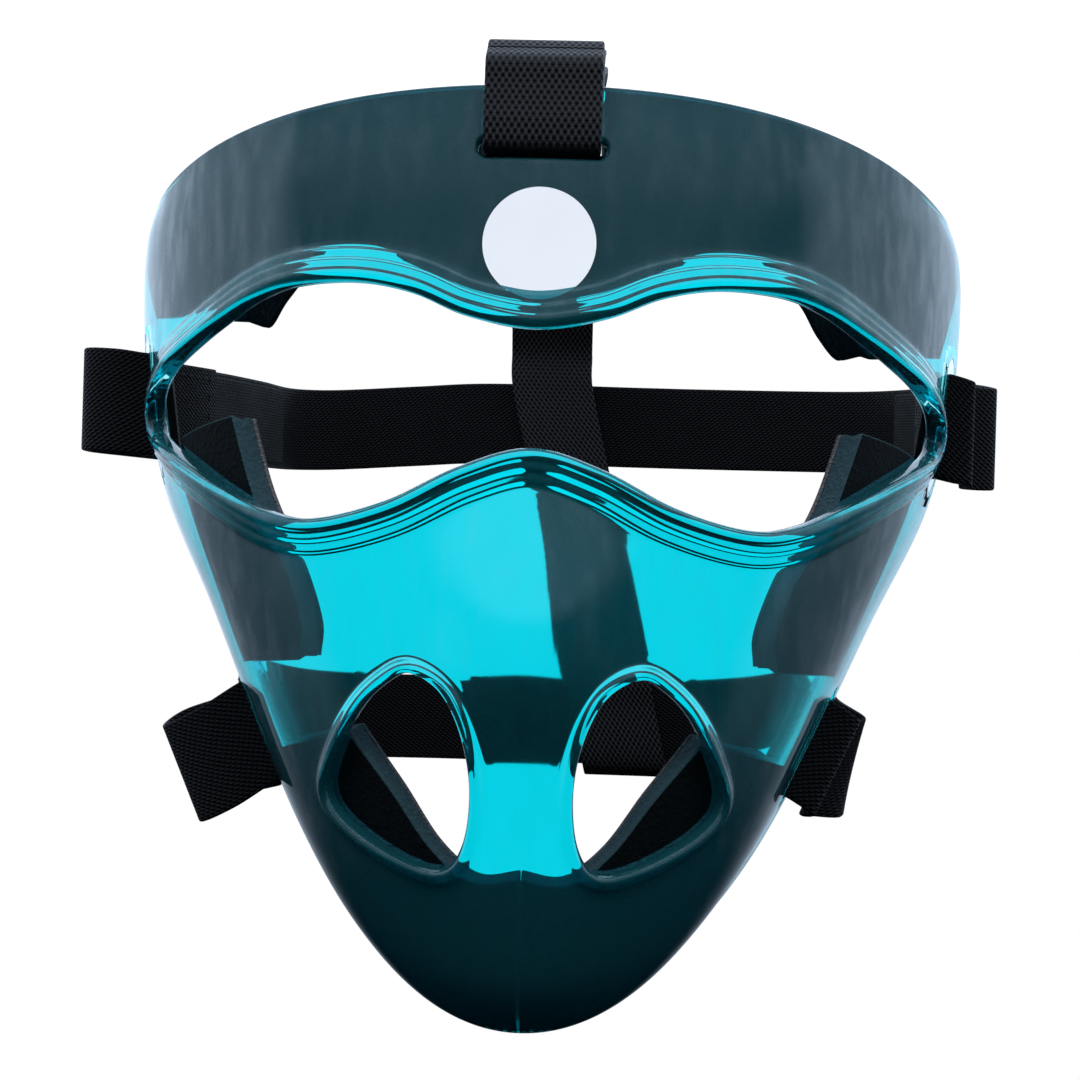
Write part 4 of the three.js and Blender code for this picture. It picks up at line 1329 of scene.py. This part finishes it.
    @staticmethod
    def depth_inside(spots: Points, ring: Points) -> Points:
        """How far each spot of the flat layout lies inside a closed ring, less than 0 outside it.

        Args:
            spots: The spots.
            ring: The ring's points in order.

        Returns:
            A distance for each spot.
        """
        starts, steps = ring[:, :2], np.roll(ring, -1, axis=0)[:, :2] - ring[:, :2]
        offsets = spots[:, None, :2] - starts[None]
        lengths = np.maximum((steps ** 2).sum(axis=1), 1e-9)
        shares = np.clip((offsets * steps).sum(axis=2) / lengths, 0, 1)
        gaps = np.linalg.norm(offsets - shares[..., None] * steps, axis=2).min(axis=1)
        return np.where(Shell.within(spots, ring), gaps, -gaps)

    def layer(self, first: Points, second: Points, notched: bool, near: float, far: float,
              radius: float, mark: Callable[[bmesh.types.BMesh, float], None] | None = None
              ) -> bmesh.types.BMesh:
        """A layer that follows the shell between two depths.

        Args:
            first: Places along one edge.
            second: Places along the other.
            notched: True for the crown strap's notch.
            near: Depth of its outer face below the shell's.
            far: Depth of its inner face.
            radius: Radius of its edges.
            mark: Marks the outer face of the flat mesh, or nothing.

        Returns:
            The mesh, in place.
        """
        shares = np.linspace(0, 1, self.rows)[None, :, None]
        places = first[:, None, :] * (1 - shares) + second[:, None, :] * shares
        flat = self.shell.flat(places[..., 0], places[..., 1], np.full(places.shape[:2], -near))
        bm = bmesh.new()
        mapped_grid(bm, flat)
        if notched:
            self.notch(bm, self.foam_notch_bottom if mark else self.liner_notch_bottom)
        thicken(bm, border(bm), far - near, radius)
        middle = bmesh.ops.bisect_plane(bm, geom=everything(bm), plane_co=(0, 0, -(near + far) / 2),
                                        plane_no=(0, 0, 1))
        waist = [item for item in middle["geom_cut"] if isinstance(item, bmesh.types.BMVert)]
        bm.normal_update()
        for vert in waist:
            vert.co -= Vector((vert.normal.x, vert.normal.y, 0)) * self.side_pull * min(far - near, 1)
        if mark:
            mark(bm, near)
        self.shell.lift(bm)
        bmesh.ops.recalc_face_normals(bm, faces=bm.faces)
        return bm

    def notch(self, bm: bmesh.types.BMesh, bottom: float) -> None:
        """Cut the notch for the crown strap out of the flat forehead pad.

        Args:
            bm: The flat pad.
            bottom: Height of the notch's bottom above the chin.
        """
        shell = self.shell
        side = shell.form.find([self.notch_half_width], [bottom])[0][0] * shell.flat_width
        base = shell.form.find([0.2], [bottom])[1][0] * shell.flat_height
        for spot, way in (((side, 0, 0), (1, 0, 0)), ((-side, 0, 0), (1, 0, 0)),
                          ((0, base, 0), (0, 1, 0))):
            bmesh.ops.bisect_plane(bm, geom=everything(bm), plane_co=spot, plane_no=way)
        gone = [face for face in bm.faces if abs(face.calc_center_median().x) < side
                and face.calc_center_median().y > base]
        bmesh.ops.delete(bm, geom=gone, context="FACES")


# Straps


@dataclass(frozen=True)
class Ribbon:
    """The middle line of a flat strap: points, width directions and outward directions."""

    point: Points
    across: Points
    out: Points

    @staticmethod
    def along(points: Points, steps: int, width: Points | Callable[[Points], Points],
              turn: int = 1, up_to: float = 1.0) -> "Ribbon":
        """Lay a strap along a smooth line.

        Args:
            points: The line's control points.
            steps: Steps along it.
            width: The width's direction, or what gives it at shares of the line.
            turn: 1, or -1 to turn the strap's outward side round.
            up_to: Share of the line at which the strap ends.

        Returns:
            The strap's line.
        """
        shares = np.linspace(0, up_to, steps + 1)
        point = curve_points(points, shares, knots=0.25)
        tangent = unit(curve_points(points, shares + 1e-4, knots=0.25)
                       - curve_points(points, shares - 1e-4, knots=0.25))
        across = unit(width(shares) if callable(width) else np.tile(width, (len(shares), 1)))
        return Ribbon(point, across, unit(np.cross(tangent, across)) * turn)

    def span(self, first: int, last: int) -> "Ribbon":
        """The part from one station to another, turned round where the last comes first.

        Args:
            first: The first station.
            last: The last one.

        Returns:
            The part.
        """
        step = 1 if last >= first else -1
        picks = np.arange(first, last + step, step)
        return Ribbon(self.point[picks], self.across[picks], self.out[picks])

    def joined(self, other: "Ribbon") -> "Ribbon":
        """This strap line up to its last station, and then another."""
        return Ribbon(*(np.vstack([a[:-1], b]) for a, b in (
            (self.point, other.point), (self.across, other.across), (self.out, other.out))))

    def shifted(self, offset: float) -> "Ribbon":
        """The line moved outwards."""
        return Ribbon(self.point + self.out * offset, self.across, self.out)

    def run(self) -> Points:
        """Distances along the line."""
        steps = np.linalg.norm(np.diff(self.point, axis=0), axis=1)
        return np.concatenate([[0.0], np.cumsum(steps)])

    def solid(self, width: float, thickness: float, radius: float = 0.55, slope: int = 1,
              paired: bool = False) -> bmesh.types.BMesh:
        """A closed strap with round edges and its cloth laid on the UV map.

        Args:
            width: The strap's width.
            thickness: Its thickness.
            radius: Radius of its edges.
            slope: 1 or -1, the way in which the cloth's ribs slope.
            paired: True where the outer face's ribs mirror about the strap's middle.

        Returns:
            The mesh.
        """
        side, rise = width / 2 - radius, thickness / 2 - radius
        arc = np.linspace(0, math.pi / 2, 4)
        corner = np.column_stack([np.cos(arc), np.sin(arc)]) * radius
        faces = np.column_stack([np.linspace(side, -side, STRAP_COLUMNS),
                                 np.zeros(STRAP_COLUMNS)])[1:-1]
        top = np.vstack([corner + (side, rise), faces + (0, thickness / 2),
                         corner[::-1] * (-1, 1) + (-side, rise)])
        loop = np.vstack([top, -top, top[:1]])
        round_run = np.concatenate([[0.0], np.cumsum(np.linalg.norm(np.diff(loop, axis=0), axis=1))])
        places = (self.point[None] + loop[:, :1, None] * self.across[None]
                  + loop[:, 1:, None] * self.out[None])
        uvs = np.stack(np.broadcast_arrays(self.run()[None, :], round_run[:, None]), axis=-1) * MM
        if paired:
            uvs[..., 0] -= uvs[0, -1, 0] / 2
            outer = loop[:, 1] > 0
            uvs[outer, :, 0] = np.abs(uvs[outer, :, 0])
        uvs[..., 0] *= slope
        bm = bmesh.new()
        mapped_grid(bm, places, closed=True, uvs=uvs)
        bmesh.ops.holes_fill(bm, edges=border(bm), sides=0)
        bmesh.ops.recalc_face_normals(bm, faces=bm.faces)
        return bm


@dataclass(frozen=True)
class Stitching:
    """Rows of machine stitches."""

    length: float = 2.6
    pitch: float = 3.3
    thickness: float = 0.42

    def sew(self, bm: bmesh.types.BMesh, ribbon: Ribbon, beside: float, lift: float) -> None:
        """Lay a row of stitches along a strap.

        Args:
            bm: The mesh to add to.
            ribbon: The strap's line.
            beside: How far the row is from the strap's middle.
            lift: How far the row is out of the strap's middle.
        """
        run = ribbon.run()
        for spot in np.arange(self.pitch, run[-1] - self.pitch / 2, self.pitch):
            index = min(max(int(np.searchsorted(run, spot)), 1), len(run) - 1)
            point = ribbon.point[index] + ribbon.across[index] * beside + ribbon.out[index] * lift
            along = unit(ribbon.point[index] - ribbon.point[index - 1])
            self.stitch(bm, point, along, ribbon.out[index])

    def cross(self, bm: bmesh.types.BMesh, ribbon: Ribbon, index: int, half_width: float,
              lift: float) -> None:
        """Lay a row of stitches across a strap at one of its stations.

        Args:
            bm: The mesh to add to.
            ribbon: The strap's line.
            index: The station.
            half_width: Half the row's length.
            lift: How far the row is out of the strap's middle.
        """
        count = int(2 * half_width / self.pitch)
        for spot in np.linspace(-half_width, half_width, count):
            point = ribbon.point[index] + ribbon.across[index] * spot + ribbon.out[index] * lift
            self.stitch(bm, point, ribbon.across[index], ribbon.out[index])

    def stitch(self, bm: bmesh.types.BMesh, point: Points, along: Points, out: Points) -> None:
        """Add one stitch, a small bulge of thread.

        Args:
            bm: The mesh to add to.
            point: Its middle.
            along: Its long way.
            out: The way out of the strap.
        """
        made = bmesh.ops.create_uvsphere(bm, u_segments=6, v_segments=4, radius=0.5)["verts"]
        side = np.cross(out, along)
        turn = Matrix((along, side, out)).transposed().to_4x4()
        size = Matrix.Diagonal((self.length, self.thickness, self.thickness, 1))
        bmesh.ops.transform(bm, matrix=Matrix.Translation(Vector(point)) @ turn @ size, verts=made)


@dataclass(frozen=True)
class BandRun:
    """Where one band runs round the head.

    Attributes:
        level: Which band it is.
        back_depth: Its depth behind the head.
        back_height: Its height behind the head.
        loops: How far each loop stands out of the shell and how far it drops.
        turn: Shares of the line from its end between which its width turns upright.
        slope: 1 or -1, the way in which its ribs slope.
        run: Its places: shares across, of the depth, and of the rise to the height behind.
    """

    level: Level
    back_depth: float
    back_height: float
    loops: dict[Side, tuple[float, float]]
    turn: tuple[float, float]
    slope: int
    run: Table


UPPER_RUN = BandRun(Level.UPPER, 196.0, 144.0, {Side.LEFT: (10.0, 3.0), Side.RIGHT: (15.0, -1.0)},
                    (0.0, 0.1), 1, (
    (1.01, 0.52, 0.3), (1.05, 0.68, 0.6), (1.04, 0.86, 0.9), (0.90, 0.965, 1), (0.45, 1, 1),
    (0.25, 1, 1), (-0.25, 1, 1), (-0.45, 1, 0.75), (-0.71, 0.99, 0.4), (-0.81, 0.95, 0.3),
    (-0.86, 0.78, 0.2), (-0.91, 0.62, 0.1), (-0.955, 0.51, 0),
))
LOWER_RUN = BandRun(Level.LOWER, 172.0, 54.0, {Side.LEFT: (10.0, 6.5), Side.RIGHT: (18.0, 11.0)},
                    (0.14, 0.21), -1, (
    (0.73, 0.52, 0.1), (0.77, 0.68, 0.2), (0.77, 0.86, 0.4), (0.64, 0.975, 0.7), (0.42, 1, 0.9),
    (0.31, 1, 1), (0.02, 1, 1), (-0.34, 1, 1), (-0.64, 0.97, 1), (-0.80, 0.84, 0.8),
    (-0.82, 0.68, 0.5), (-0.76, 0.52, 0.2),
))


@dataclass(frozen=True)
class Harness:
    """Two elastic bands and the crown strap, with their tapes, tails and stitches."""

    slots: Slots = Slots()
    width: float = 25.0
    band_thickness: float = 1.6
    webbing_thickness: float = 1.7
    tape_thickness: float = 0.9
    tape_margin: float = 1.5
    hook_length: float = 24.0
    loop_length: float = 92.0
    crown_hook_length: float = 28.0
    crown_loop_length: float = 60.0
    keeper_length: float = 44.0
    crown_top_height: float = 229.0
    crown_top_depth: float = 96.0
    crown_loop_height: float = 212.3
    crown_loop_depth: float = 6.5
    crown_pitch: float = 4.6
    crown_lean: float = 20.0
    crown_far_lean: float = 3.2
    hem_length: float = 20.0
    coarse: int = 4
    fine: int = 4
    fold_steps: int = 12
    keeper_steps: int = 48
    keeper_seams: Sequence[int] = (3, 6, 42, 45)
    keeper_seam_inset: float = 2.5
    seam_inset: float = 1.2
    tape_radius: float = 0.3
    left_loop: Table = ((0.62, 0.1, 0.6), (0.40, 0.75, 0.8), (1, 1.5, 0.8), (0.6, 2.4, 0.3))
    right_loop: Table = ((0.55, 0.1, 0.6), (1, 0.7, 1), (0.9, 1.6, 0.8), (0.3, 2.4, 0.4))
    rise: Table = ((0.92, 0.40), (0.965, 0.47))
    over: Table = ((0.965, 0.768), (0.90, 0.869), (0.72, 0.967))
    front: Table = ((0.306, 0.967), (0.204, 0.941), (0.143, 0.916), (0.100, 0.897), (0.066, 0.878))
    keeper_shares: Sequence[float] = (-0.5, -0.31, 0.31, 0.5)
    hem_inner: Sequence[float] = (0.7, 1.15)
    stitching: Stitching = Stitching()

    @property
    def crossing_out(self) -> float:
        """Distance from a band's middle to that of the webbing that crosses it."""
        return (self.band_thickness + self.webbing_thickness) / 2 + CROSSING_GAP

    def build(self, finishes: Finishes) -> None:
        """Build every strap.

        Args:
            finishes: The materials.
        """
        self.band(finishes, UPPER_RUN)
        self.band(finishes, LOWER_RUN)
        self.crown(finishes)
        self.keeper(finishes)

    def slot_loop(self, frame: SlotFrame, shares: Table, puff: float, drop: float) -> Points:
        """A band's loop from inside its slot, out round the shell's rear edge, to its landing.

        Args:
            frame: The slot.
            shares: Shares of the puff, of the slot's inset and of the drop, point by point.
            puff: How far the loop stands out of the shell.
            drop: How far it drops.

        Returns:
            The loop's control points.
        """
        outward, over = (unit(way * (1, 1, 0)) for way in (frame.out, frame.over))
        rows = [frame.beside(-WALL - SEAT_GAP, 0), frame.beside(0, 0)]
        rows += [frame.point + outward * out * puff + over * reach * self.slots.side_inset
                 - np.array([0, 0, fall * drop]) for out, reach, fall in shares]
        return np.array(rows)

    def band_line(self, run: BandRun) -> tuple[Ribbon, int]:
        """A band's whole line, with the fine station at which its left loop lands.

        Args:
            run: Where the band runs.

        Returns:
            The line and the station.
        """
        form = self.slots.form
        frames = {side: self.slots.side(run.level, side) for side in Side}
        left = self.slot_loop(frames[Side.LEFT], self.left_loop, *run.loops[Side.LEFT])
        right = self.slot_loop(frames[Side.RIGHT], self.right_loop, *run.loops[Side.RIGHT])[::-1]
        low = left[1][2] + HEAD_HEIGHT
        back = [place(across * form.half_width, depth * run.back_depth,
                      low + (run.back_height - low) * rise) for across, depth, rise in run.run]
        points = np.vstack([left, back, right])

        def width_at(shares: Points) -> Points:
            """Turn the width from the way that the slots lie to upright behind the head.

            Args:
                shares: Shares of the line.

            Returns:
                The width's direction at each share.
            """
            start, stop = run.turn
            turned = np.clip((np.minimum(shares, 1 - shares) - start) / (stop - start), 0, 1)
            turned = (turned * turned * (3 - 2 * turned))[:, None]
            along = np.where((shares < 0.5)[:, None], frames[Side.LEFT].along,
                             frames[Side.RIGHT].along)
            return along * (1 - turned) + np.array([0, 0, 1.0]) * turned

        steps = (len(points) - 1) * self.coarse * self.fine
        landing = (len(left) - 1) * self.coarse * self.fine
        return Ribbon.along(points, steps, width_at), landing

    def taken(self, whole: Ribbon, first: int, way: int, length: float) -> int:
        """The station at which a tape that starts at another one ends.

        Args:
            whole: The strap's line.
            first: The station at which the tape starts.
            way: 1 or -1, the way in which it runs.
            length: The least length that it covers.

        Returns:
            The station.
        """
        index, run = first, 0.0
        while run < length:
            following = index + way * self.fine
            run += float(np.linalg.norm(whole.point[following] - whole.point[index]))
            index = following
        return index

    def offsets(self, thickness: float) -> tuple[float, float, float]:
        """Offsets from a strap's middle to those of its loop tape, hook tape and tail.

        Args:
            thickness: The strap's thickness.

        Returns:
            The three offsets.
        """
        loop = (thickness + self.tape_thickness) / 2 + SEAT_GAP
        hook = loop + self.tape_thickness + SEAT_GAP
        return loop, hook, hook + (self.tape_thickness + thickness) / 2 + SEAT_GAP

    def tail(self, turns: Points, across: Points, laid: Ribbon, offset: float, turn: int) -> Ribbon:
        """A tail that turns back at its pivot and lies along its strap's tape.

        Args:
            turns: The points about which it turns.
            across: Its width's direction in the turn.
            laid: The strap's line along the tape.
            offset: How far it lies out of that line.
            turn: 1 or -1, the side on which its outer face is.

        Returns:
            The tail's line.
        """
        laid = laid.shifted(offset)
        points = np.vstack([turns, laid.point[:1], laid.point[self.fine:self.fine + 1]])
        spans = len(turns)
        fold = Ribbon.along(points, spans * self.fold_steps, across, turn, spans / (spans + 1))
        return fold.joined(laid)

    def band(self, finishes: Finishes, run: BandRun) -> None:
        """Build a band with the tapes, tail and stitches at each end.

        Args:
            finishes: The materials.
            run: Where the band runs.
        """
        level = run.level.value
        whole, landing = self.band_line(run)
        dress(whole.solid(self.width, self.band_thickness, slope=run.slope, paired=True),
              f"{level}_elastic_band", finishes.elastic, "elastic", BODY, f"{level}_band")
        loop_offset, hook_offset, tail_offset = self.offsets(self.band_thickness)
        inside = WALL + SEAT_GAP + FOLD_GAP + self.band_thickness / 2
        last = len(whole.point) - 1
        for side in Side:
            frame = self.slots.side(run.level, side)
            name, body = f"{level}_{side.word}", f"{level}_{side.word}_tail"
            first, way = (landing, 1) if side is Side.LEFT else (last - landing, -1)
            hook = whole.span(first, self.taken(whole, first, way, self.hook_length))
            loop = whole.span(first, self.taken(whole, first, way, self.loop_length))
            edge = self.slots.form.lifted([side.value], [frame.section], [-inside - FOLD_GAP])[0]
            turns = np.array([frame.beside(-inside, 0), edge])
            tail = self.tail(turns, frame.along, hook, -tail_offset, way)
            self.tape(finishes.loop_tape, f"{name}_loop", BODY, loop.shifted(-loop_offset),
                      run.slope * way)
            self.tape(finishes.hook_tape, f"{name}_hook", body, hook.shifted(-hook_offset))
            dress(tail.solid(self.width, self.band_thickness, slope=-run.slope * way),
                  f"{name}_elastic_tail", finishes.elastic, "elastic", body, f"{name}_tail")
            self.sew(finishes, f"{name}_loop_stitches", BODY, loop, self.band_thickness / 2)
            self.sew(finishes, f"{name}_hook_stitches", body, hook.shifted(-tail_offset),
                     -self.band_thickness / 2)

    def tape(self, finish: bpy.types.Material, name: str, body: str, ribbon: Ribbon,
             slope: int = 1) -> None:
        """Build a hook tape or a loop tape.

        Args:
            finish: Its material.
            name: The tape's name, which ends with its kind.
            body: The body that it rides on.
            ribbon: Its line.
            slope: 1 or -1, the way in which its ribs slope.
        """
        mesh = ribbon.solid(self.width - 2 * self.tape_margin, self.tape_thickness,
                            self.tape_radius, slope=slope)
        kind = name.rsplit("_", 1)[-1]
        dress(mesh, f"{name}_pile_tape", finish, f"{kind}_tape", body, f"{name}_tape")

    def sew(self, finishes: Finishes, name: str, body: str, ribbon: Ribbon, lift: float) -> None:
        """Sew a tape to its strap along both edges and across both ends.

        Args:
            finishes: The materials.
            name: The stitches' name.
            body: The body that they ride on.
            ribbon: The strap's line along the tape.
            lift: How far the stitches are out of the strap's middle.
        """
        bm = bmesh.new()
        beside = self.width / 2 - self.tape_margin - self.seam_inset
        for row in (-beside, beside):
            self.stitching.sew(bm, ribbon, row, lift)
        for index in (2, len(ribbon.point) - 3):
            self.stitching.cross(bm, ribbon, index, beside, lift)
        dress(bm, name, finishes.thread, "webbing", body)

    def lean(self, height: float) -> float:
        """How far the crown strap leans to the wearer's left behind the head."""
        dropped = (UPPER_RUN.back_height - height) / (UPPER_RUN.back_height - LOWER_RUN.back_height)
        return max(self.crown_lean * dropped, -self.crown_far_lean)

    def crossing(self, outward: float) -> Points:
        """The strap's or the keeper's line where it crosses the upper band.

        Args:
            outward: How far it lies behind the band's middle.

        Returns:
            The line's control points.
        """
        rows = []
        for share in self.keeper_shares:
            height = UPPER_RUN.back_height + share * self.keeper_length
            rows.append(place(self.lean(height), UPPER_RUN.back_depth + outward, height))
        return np.array(rows)

    def hem(self) -> Points:
        """The hem's line: down outside the lower band, under it and up inside.

        Returns:
            The line's control points.
        """
        out = self.crossing_out
        edge = LOWER_RUN.back_height - self.width / 2
        turns = [(out, edge + self.hem_length), (out, edge), (0, edge - out), (-out, edge)]
        turns += [(-out, edge + share * self.width) for share in self.hem_inner]
        return np.array([place(self.lean(height), LOWER_RUN.back_depth + outward, height)
                         for outward, height in turns])

    def crown(self, finishes: Finishes) -> None:
        """Build the crown strap with its tapes, tail and stitches.

        Args:
            finishes: The materials.
        """
        slot = self.slots.crown()
        pitch, depth = self.crown_pitch, UPPER_RUN.back_depth
        leaning = [place(self.lean(h * self.crown_top_height), d * depth, h * self.crown_top_height)
                   for d, h in (*self.rise, *self.over)]
        rear = np.vstack([self.hem(), leaning[:2], self.crossing(-self.crossing_out)])
        over = np.vstack([leaning[2:], place(0, self.crown_top_depth, self.crown_top_height)])
        front = [place(0, d * depth, h * self.crown_top_height) for d, h in self.front]
        behind = -WALL - 2 * self.webbing_thickness
        loop = [slot.beside(behind, 2 * pitch), slot.beside(behind, pitch),
                slot.beside(-WALL, SEAT_GAP), slot.beside(SEAT_GAP, 0)]
        loop += [slot.beside(self.webbing_thickness, share * pitch) for share in (1, 2, 3, 4)]
        loop.append(place(0, self.crown_loop_depth, self.crown_loop_height))
        points = np.vstack([rear, over, front, loop])
        landing = (len(rear) + len(over) + 2) * self.coarse * self.fine
        whole = Ribbon.along(points, (len(points) - 1) * self.coarse * self.fine, SIDEWAYS)
        dress(whole.solid(self.width, self.webbing_thickness), "crown_webbing", finishes.webbing,
              "webbing", BODY, "crown_strap")
        loop_offset, hook_offset, tail_offset = self.offsets(self.webbing_thickness)
        hook = whole.span(landing, self.taken(whole, landing, -1, self.crown_hook_length))
        tape = whole.span(landing, self.taken(whole, landing, -1, self.crown_loop_length))
        end = unit(whole.point[-1] - whole.point[-2])
        turns = np.array([whole.point[-1] + end * reach for reach in (FOLD_GAP, pitch)])
        tail = self.tail(turns, SIDEWAYS, hook, tail_offset, -1)
        self.tape(finishes.loop_tape, "crown_loop", BODY, tape.shifted(loop_offset))
        self.tape(finishes.hook_tape, "crown_hook", "crown_tail", hook.shifted(hook_offset))
        dress(tail.solid(self.width, self.webbing_thickness), "crown_webbing_tail",
              finishes.webbing, "webbing", "crown_tail", "crown_tail")
        self.sew(finishes, "crown_tail_stitches", "crown_tail", hook.shifted(tail_offset),
                 self.webbing_thickness / 2)

    def keeper(self, finishes: Finishes) -> None:
        """Build the keeper that is sewn to the crown strap above and below the upper band.

        Args:
            finishes: The materials.
        """
        ribbon = Ribbon.along(self.crossing(self.crossing_out), self.keeper_steps, SIDEWAYS)
        dress(ribbon.solid(self.width, self.webbing_thickness), "webbing_keeper", finishes.webbing,
              "webbing", BODY, "band_keeper")
        bm = bmesh.new()
        for index in self.keeper_seams:
            self.stitching.cross(bm, ribbon, index, self.width / 2 - self.keeper_seam_inset,
                                 self.webbing_thickness / 2 * (1 if ribbon.out[0][1] > 0 else -1))
        dress(bm, "keeper_stitches", finishes.thread, "webbing", BODY)


# The studio


@dataclass(frozen=True)
class Studio:
    """Camera, floor, soft lights and the white surround."""

    yaw: float = 2.2
    roll: float = 1.7
    distance: float = 400.0
    shift: float = -2.13
    focal: float = 1904.0
    picture: float = 1080.0
    sensor: float = 36.0
    centre_height: float = 72.0
    floor_height: float = -500.0
    floor_radius: float = 1000.0
    surround: float = 1.2
    wings: float = 1.05
    overhead: float = 0.48
    camera_side: float = 0.14
    cool: tuple[float, ...] = (0.88, 1.10, 1.36, 1.0)
    white: tuple[float, ...] = (1.0, 1.0, 1.0, 1.0)
    clip: tuple[float, float] = (0.01, 20.0)
    back_marks: tuple[float, float] = (-0.15, 0.45)
    wing_marks: tuple[float, float] = (-0.62, -0.34)
    overhead_marks: tuple[float, float] = (0.16, 0.36)
    lit_marks: tuple[float, float] = (-0.52, 0.30)
    through_marks: tuple[float, float] = (-0.50, -0.36)
    softboxes: tuple = (("key_softbox", (-0.30, -0.55, 0.95), 13.0),
                        ("fill_softbox", (0.50, -0.55, 0.85), 8.0))
    softbox_size: float = 0.7
    softbox_aim: tuple[float, float, float] = (0.0, 0.05, -0.07)

    def build(self) -> None:
        """Set the camera, floor, lights and world."""
        self.camera()
        self.floor()
        self.world()
        self.lights()
        bpy.context.scene.view_settings.view_transform = "Standard"

    def camera(self) -> None:
        """Stand the camera where the photograph was taken from."""
        yaw, roll = math.radians(self.yaw), math.radians(self.roll)
        turn = np.array([[math.cos(roll), 0, math.sin(roll)], [0, 1, 0],
                         [-math.sin(roll), 0, math.cos(roll)]])
        turn = turn @ np.array([[math.cos(yaw), math.sin(yaw), 0],
                                [-math.sin(yaw), math.cos(yaw), 0], [0, 0, 1]])
        spot = turn.T @ np.array([-self.shift, -self.distance, 0])
        spot -= np.array([0, HEAD_DEPTH, self.centre_height])
        right, forward, up = turn
        data = bpy.data.cameras.new("photograph_camera")
        data.sensor_width = self.sensor
        data.lens = self.focal / self.picture * self.sensor
        data.clip_start, data.clip_end = self.clip
        camera = bpy.data.objects.new("photograph_camera", data)
        camera.matrix_world = Matrix((
            (right[0], up[0], -forward[0], spot[0] * MM), (right[1], up[1], -forward[1], spot[1] * MM),
            (right[2], up[2], -forward[2], spot[2] * MM), (0, 0, 0, 1)))
        bpy.context.scene.collection.objects.link(camera)
        bpy.context.scene.camera = camera

    def floor(self) -> None:
        """Lay a pale floor below the guard."""
        bm = bmesh.new()
        bmesh.ops.create_circle(bm, segments=96, radius=self.floor_radius, cap_ends=True)
        bmesh.ops.translate(bm, vec=(0, 60, self.floor_height), verts=bm.verts)
        floor = finish_mesh(bm, "studio_floor")
        material, sheet, shader, spot = new_material("pale_floor")
        noise = sheet.add("ShaderNodeTexNoise", {"Vector": spot.outputs["Object"], "Scale": 30.0})
        tone = sheet.mix(noise.outputs[0], (0.88, 0.89, 0.90, 1), (0.92, 0.92, 0.93, 1))
        sheet.feed(shader, {"Base Color": tone, "Roughness": 0.9})
        floor.data.materials.append(material)
        floor.visible_glossy = floor.visible_transmission = floor.visible_diffuse = False

    def world(self) -> None:
        """Surround the guard with white behind, paler wings and overhead light, and a dark front."""
        world = bpy.data.worlds.new("white_surround")
        world.use_nodes = True
        bpy.context.scene.world = world
        sheet = NodeSheet(world.node_tree)
        spot = sheet.add("ShaderNodeTexCoord")
        axes = sheet.add("ShaderNodeSeparateXYZ", {0: spot.outputs["Generated"]})
        depth, height = axes.outputs["Y"], axes.outputs["Z"]
        back = sheet.ramp(depth, *self.back_marks)
        sides = sheet.math("ADD", sheet.ramp(depth, *self.wing_marks, 0.0, self.wings),
                           sheet.math("MULTIPLY", back, self.surround - self.wings))
        lit = sheet.math("MAXIMUM", sides,
                         sheet.ramp(height, *self.overhead_marks, 0.0, self.overhead))
        lit = sheet.math("MULTIPLY", lit, sheet.ramp(height, *self.lit_marks))
        path = sheet.add("ShaderNodeLightPath")
        through = path.outputs["Is Transmission Ray"]
        behind = sheet.math("MULTIPLY", back, sheet.ramp(height, *self.through_marks))
        behind = sheet.math("MULTIPLY", through, sheet.math("MAXIMUM", behind, self.camera_side))
        seen = sheet.math("MAXIMUM", path.outputs["Is Camera Ray"], behind)
        direct = sheet.math("MAXIMUM", through, path.outputs["Is Camera Ray"])
        sheet.feed(world.node_tree.nodes["Background"], {
            "Color": sheet.mix(direct, self.cool, self.white),
            "Strength": sheet.math("MAXIMUM", lit, seen)})

    def lights(self) -> None:
        """Hang two soft boxes in front and above."""
        for name, spot, power in self.softboxes:
            data = bpy.data.lights.new(name, "AREA")
            data.energy, data.size = power, self.softbox_size
            lamp = bpy.data.objects.new(name, data)
            lamp.visible_glossy = lamp.visible_transmission = False
            aim = Vector(self.softbox_aim) - Vector(spot)
            lamp.matrix_world = (Matrix.Translation(spot)
                                 @ aim.to_track_quat("-Z", "Y").to_matrix().to_4x4())
            bpy.context.scene.collection.objects.link(lamp)


def main() -> None:
    """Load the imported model, dress it and set up the studio."""
    logging.basicConfig(level=logging.INFO, format="%(name)s %(message)s")
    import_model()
    finishes = Finishes()
    Studio().build()
    Shell().build(finishes)
    Pads().build(finishes)
    Harness().build(finishes)


if __name__ == "__main__":
    main()
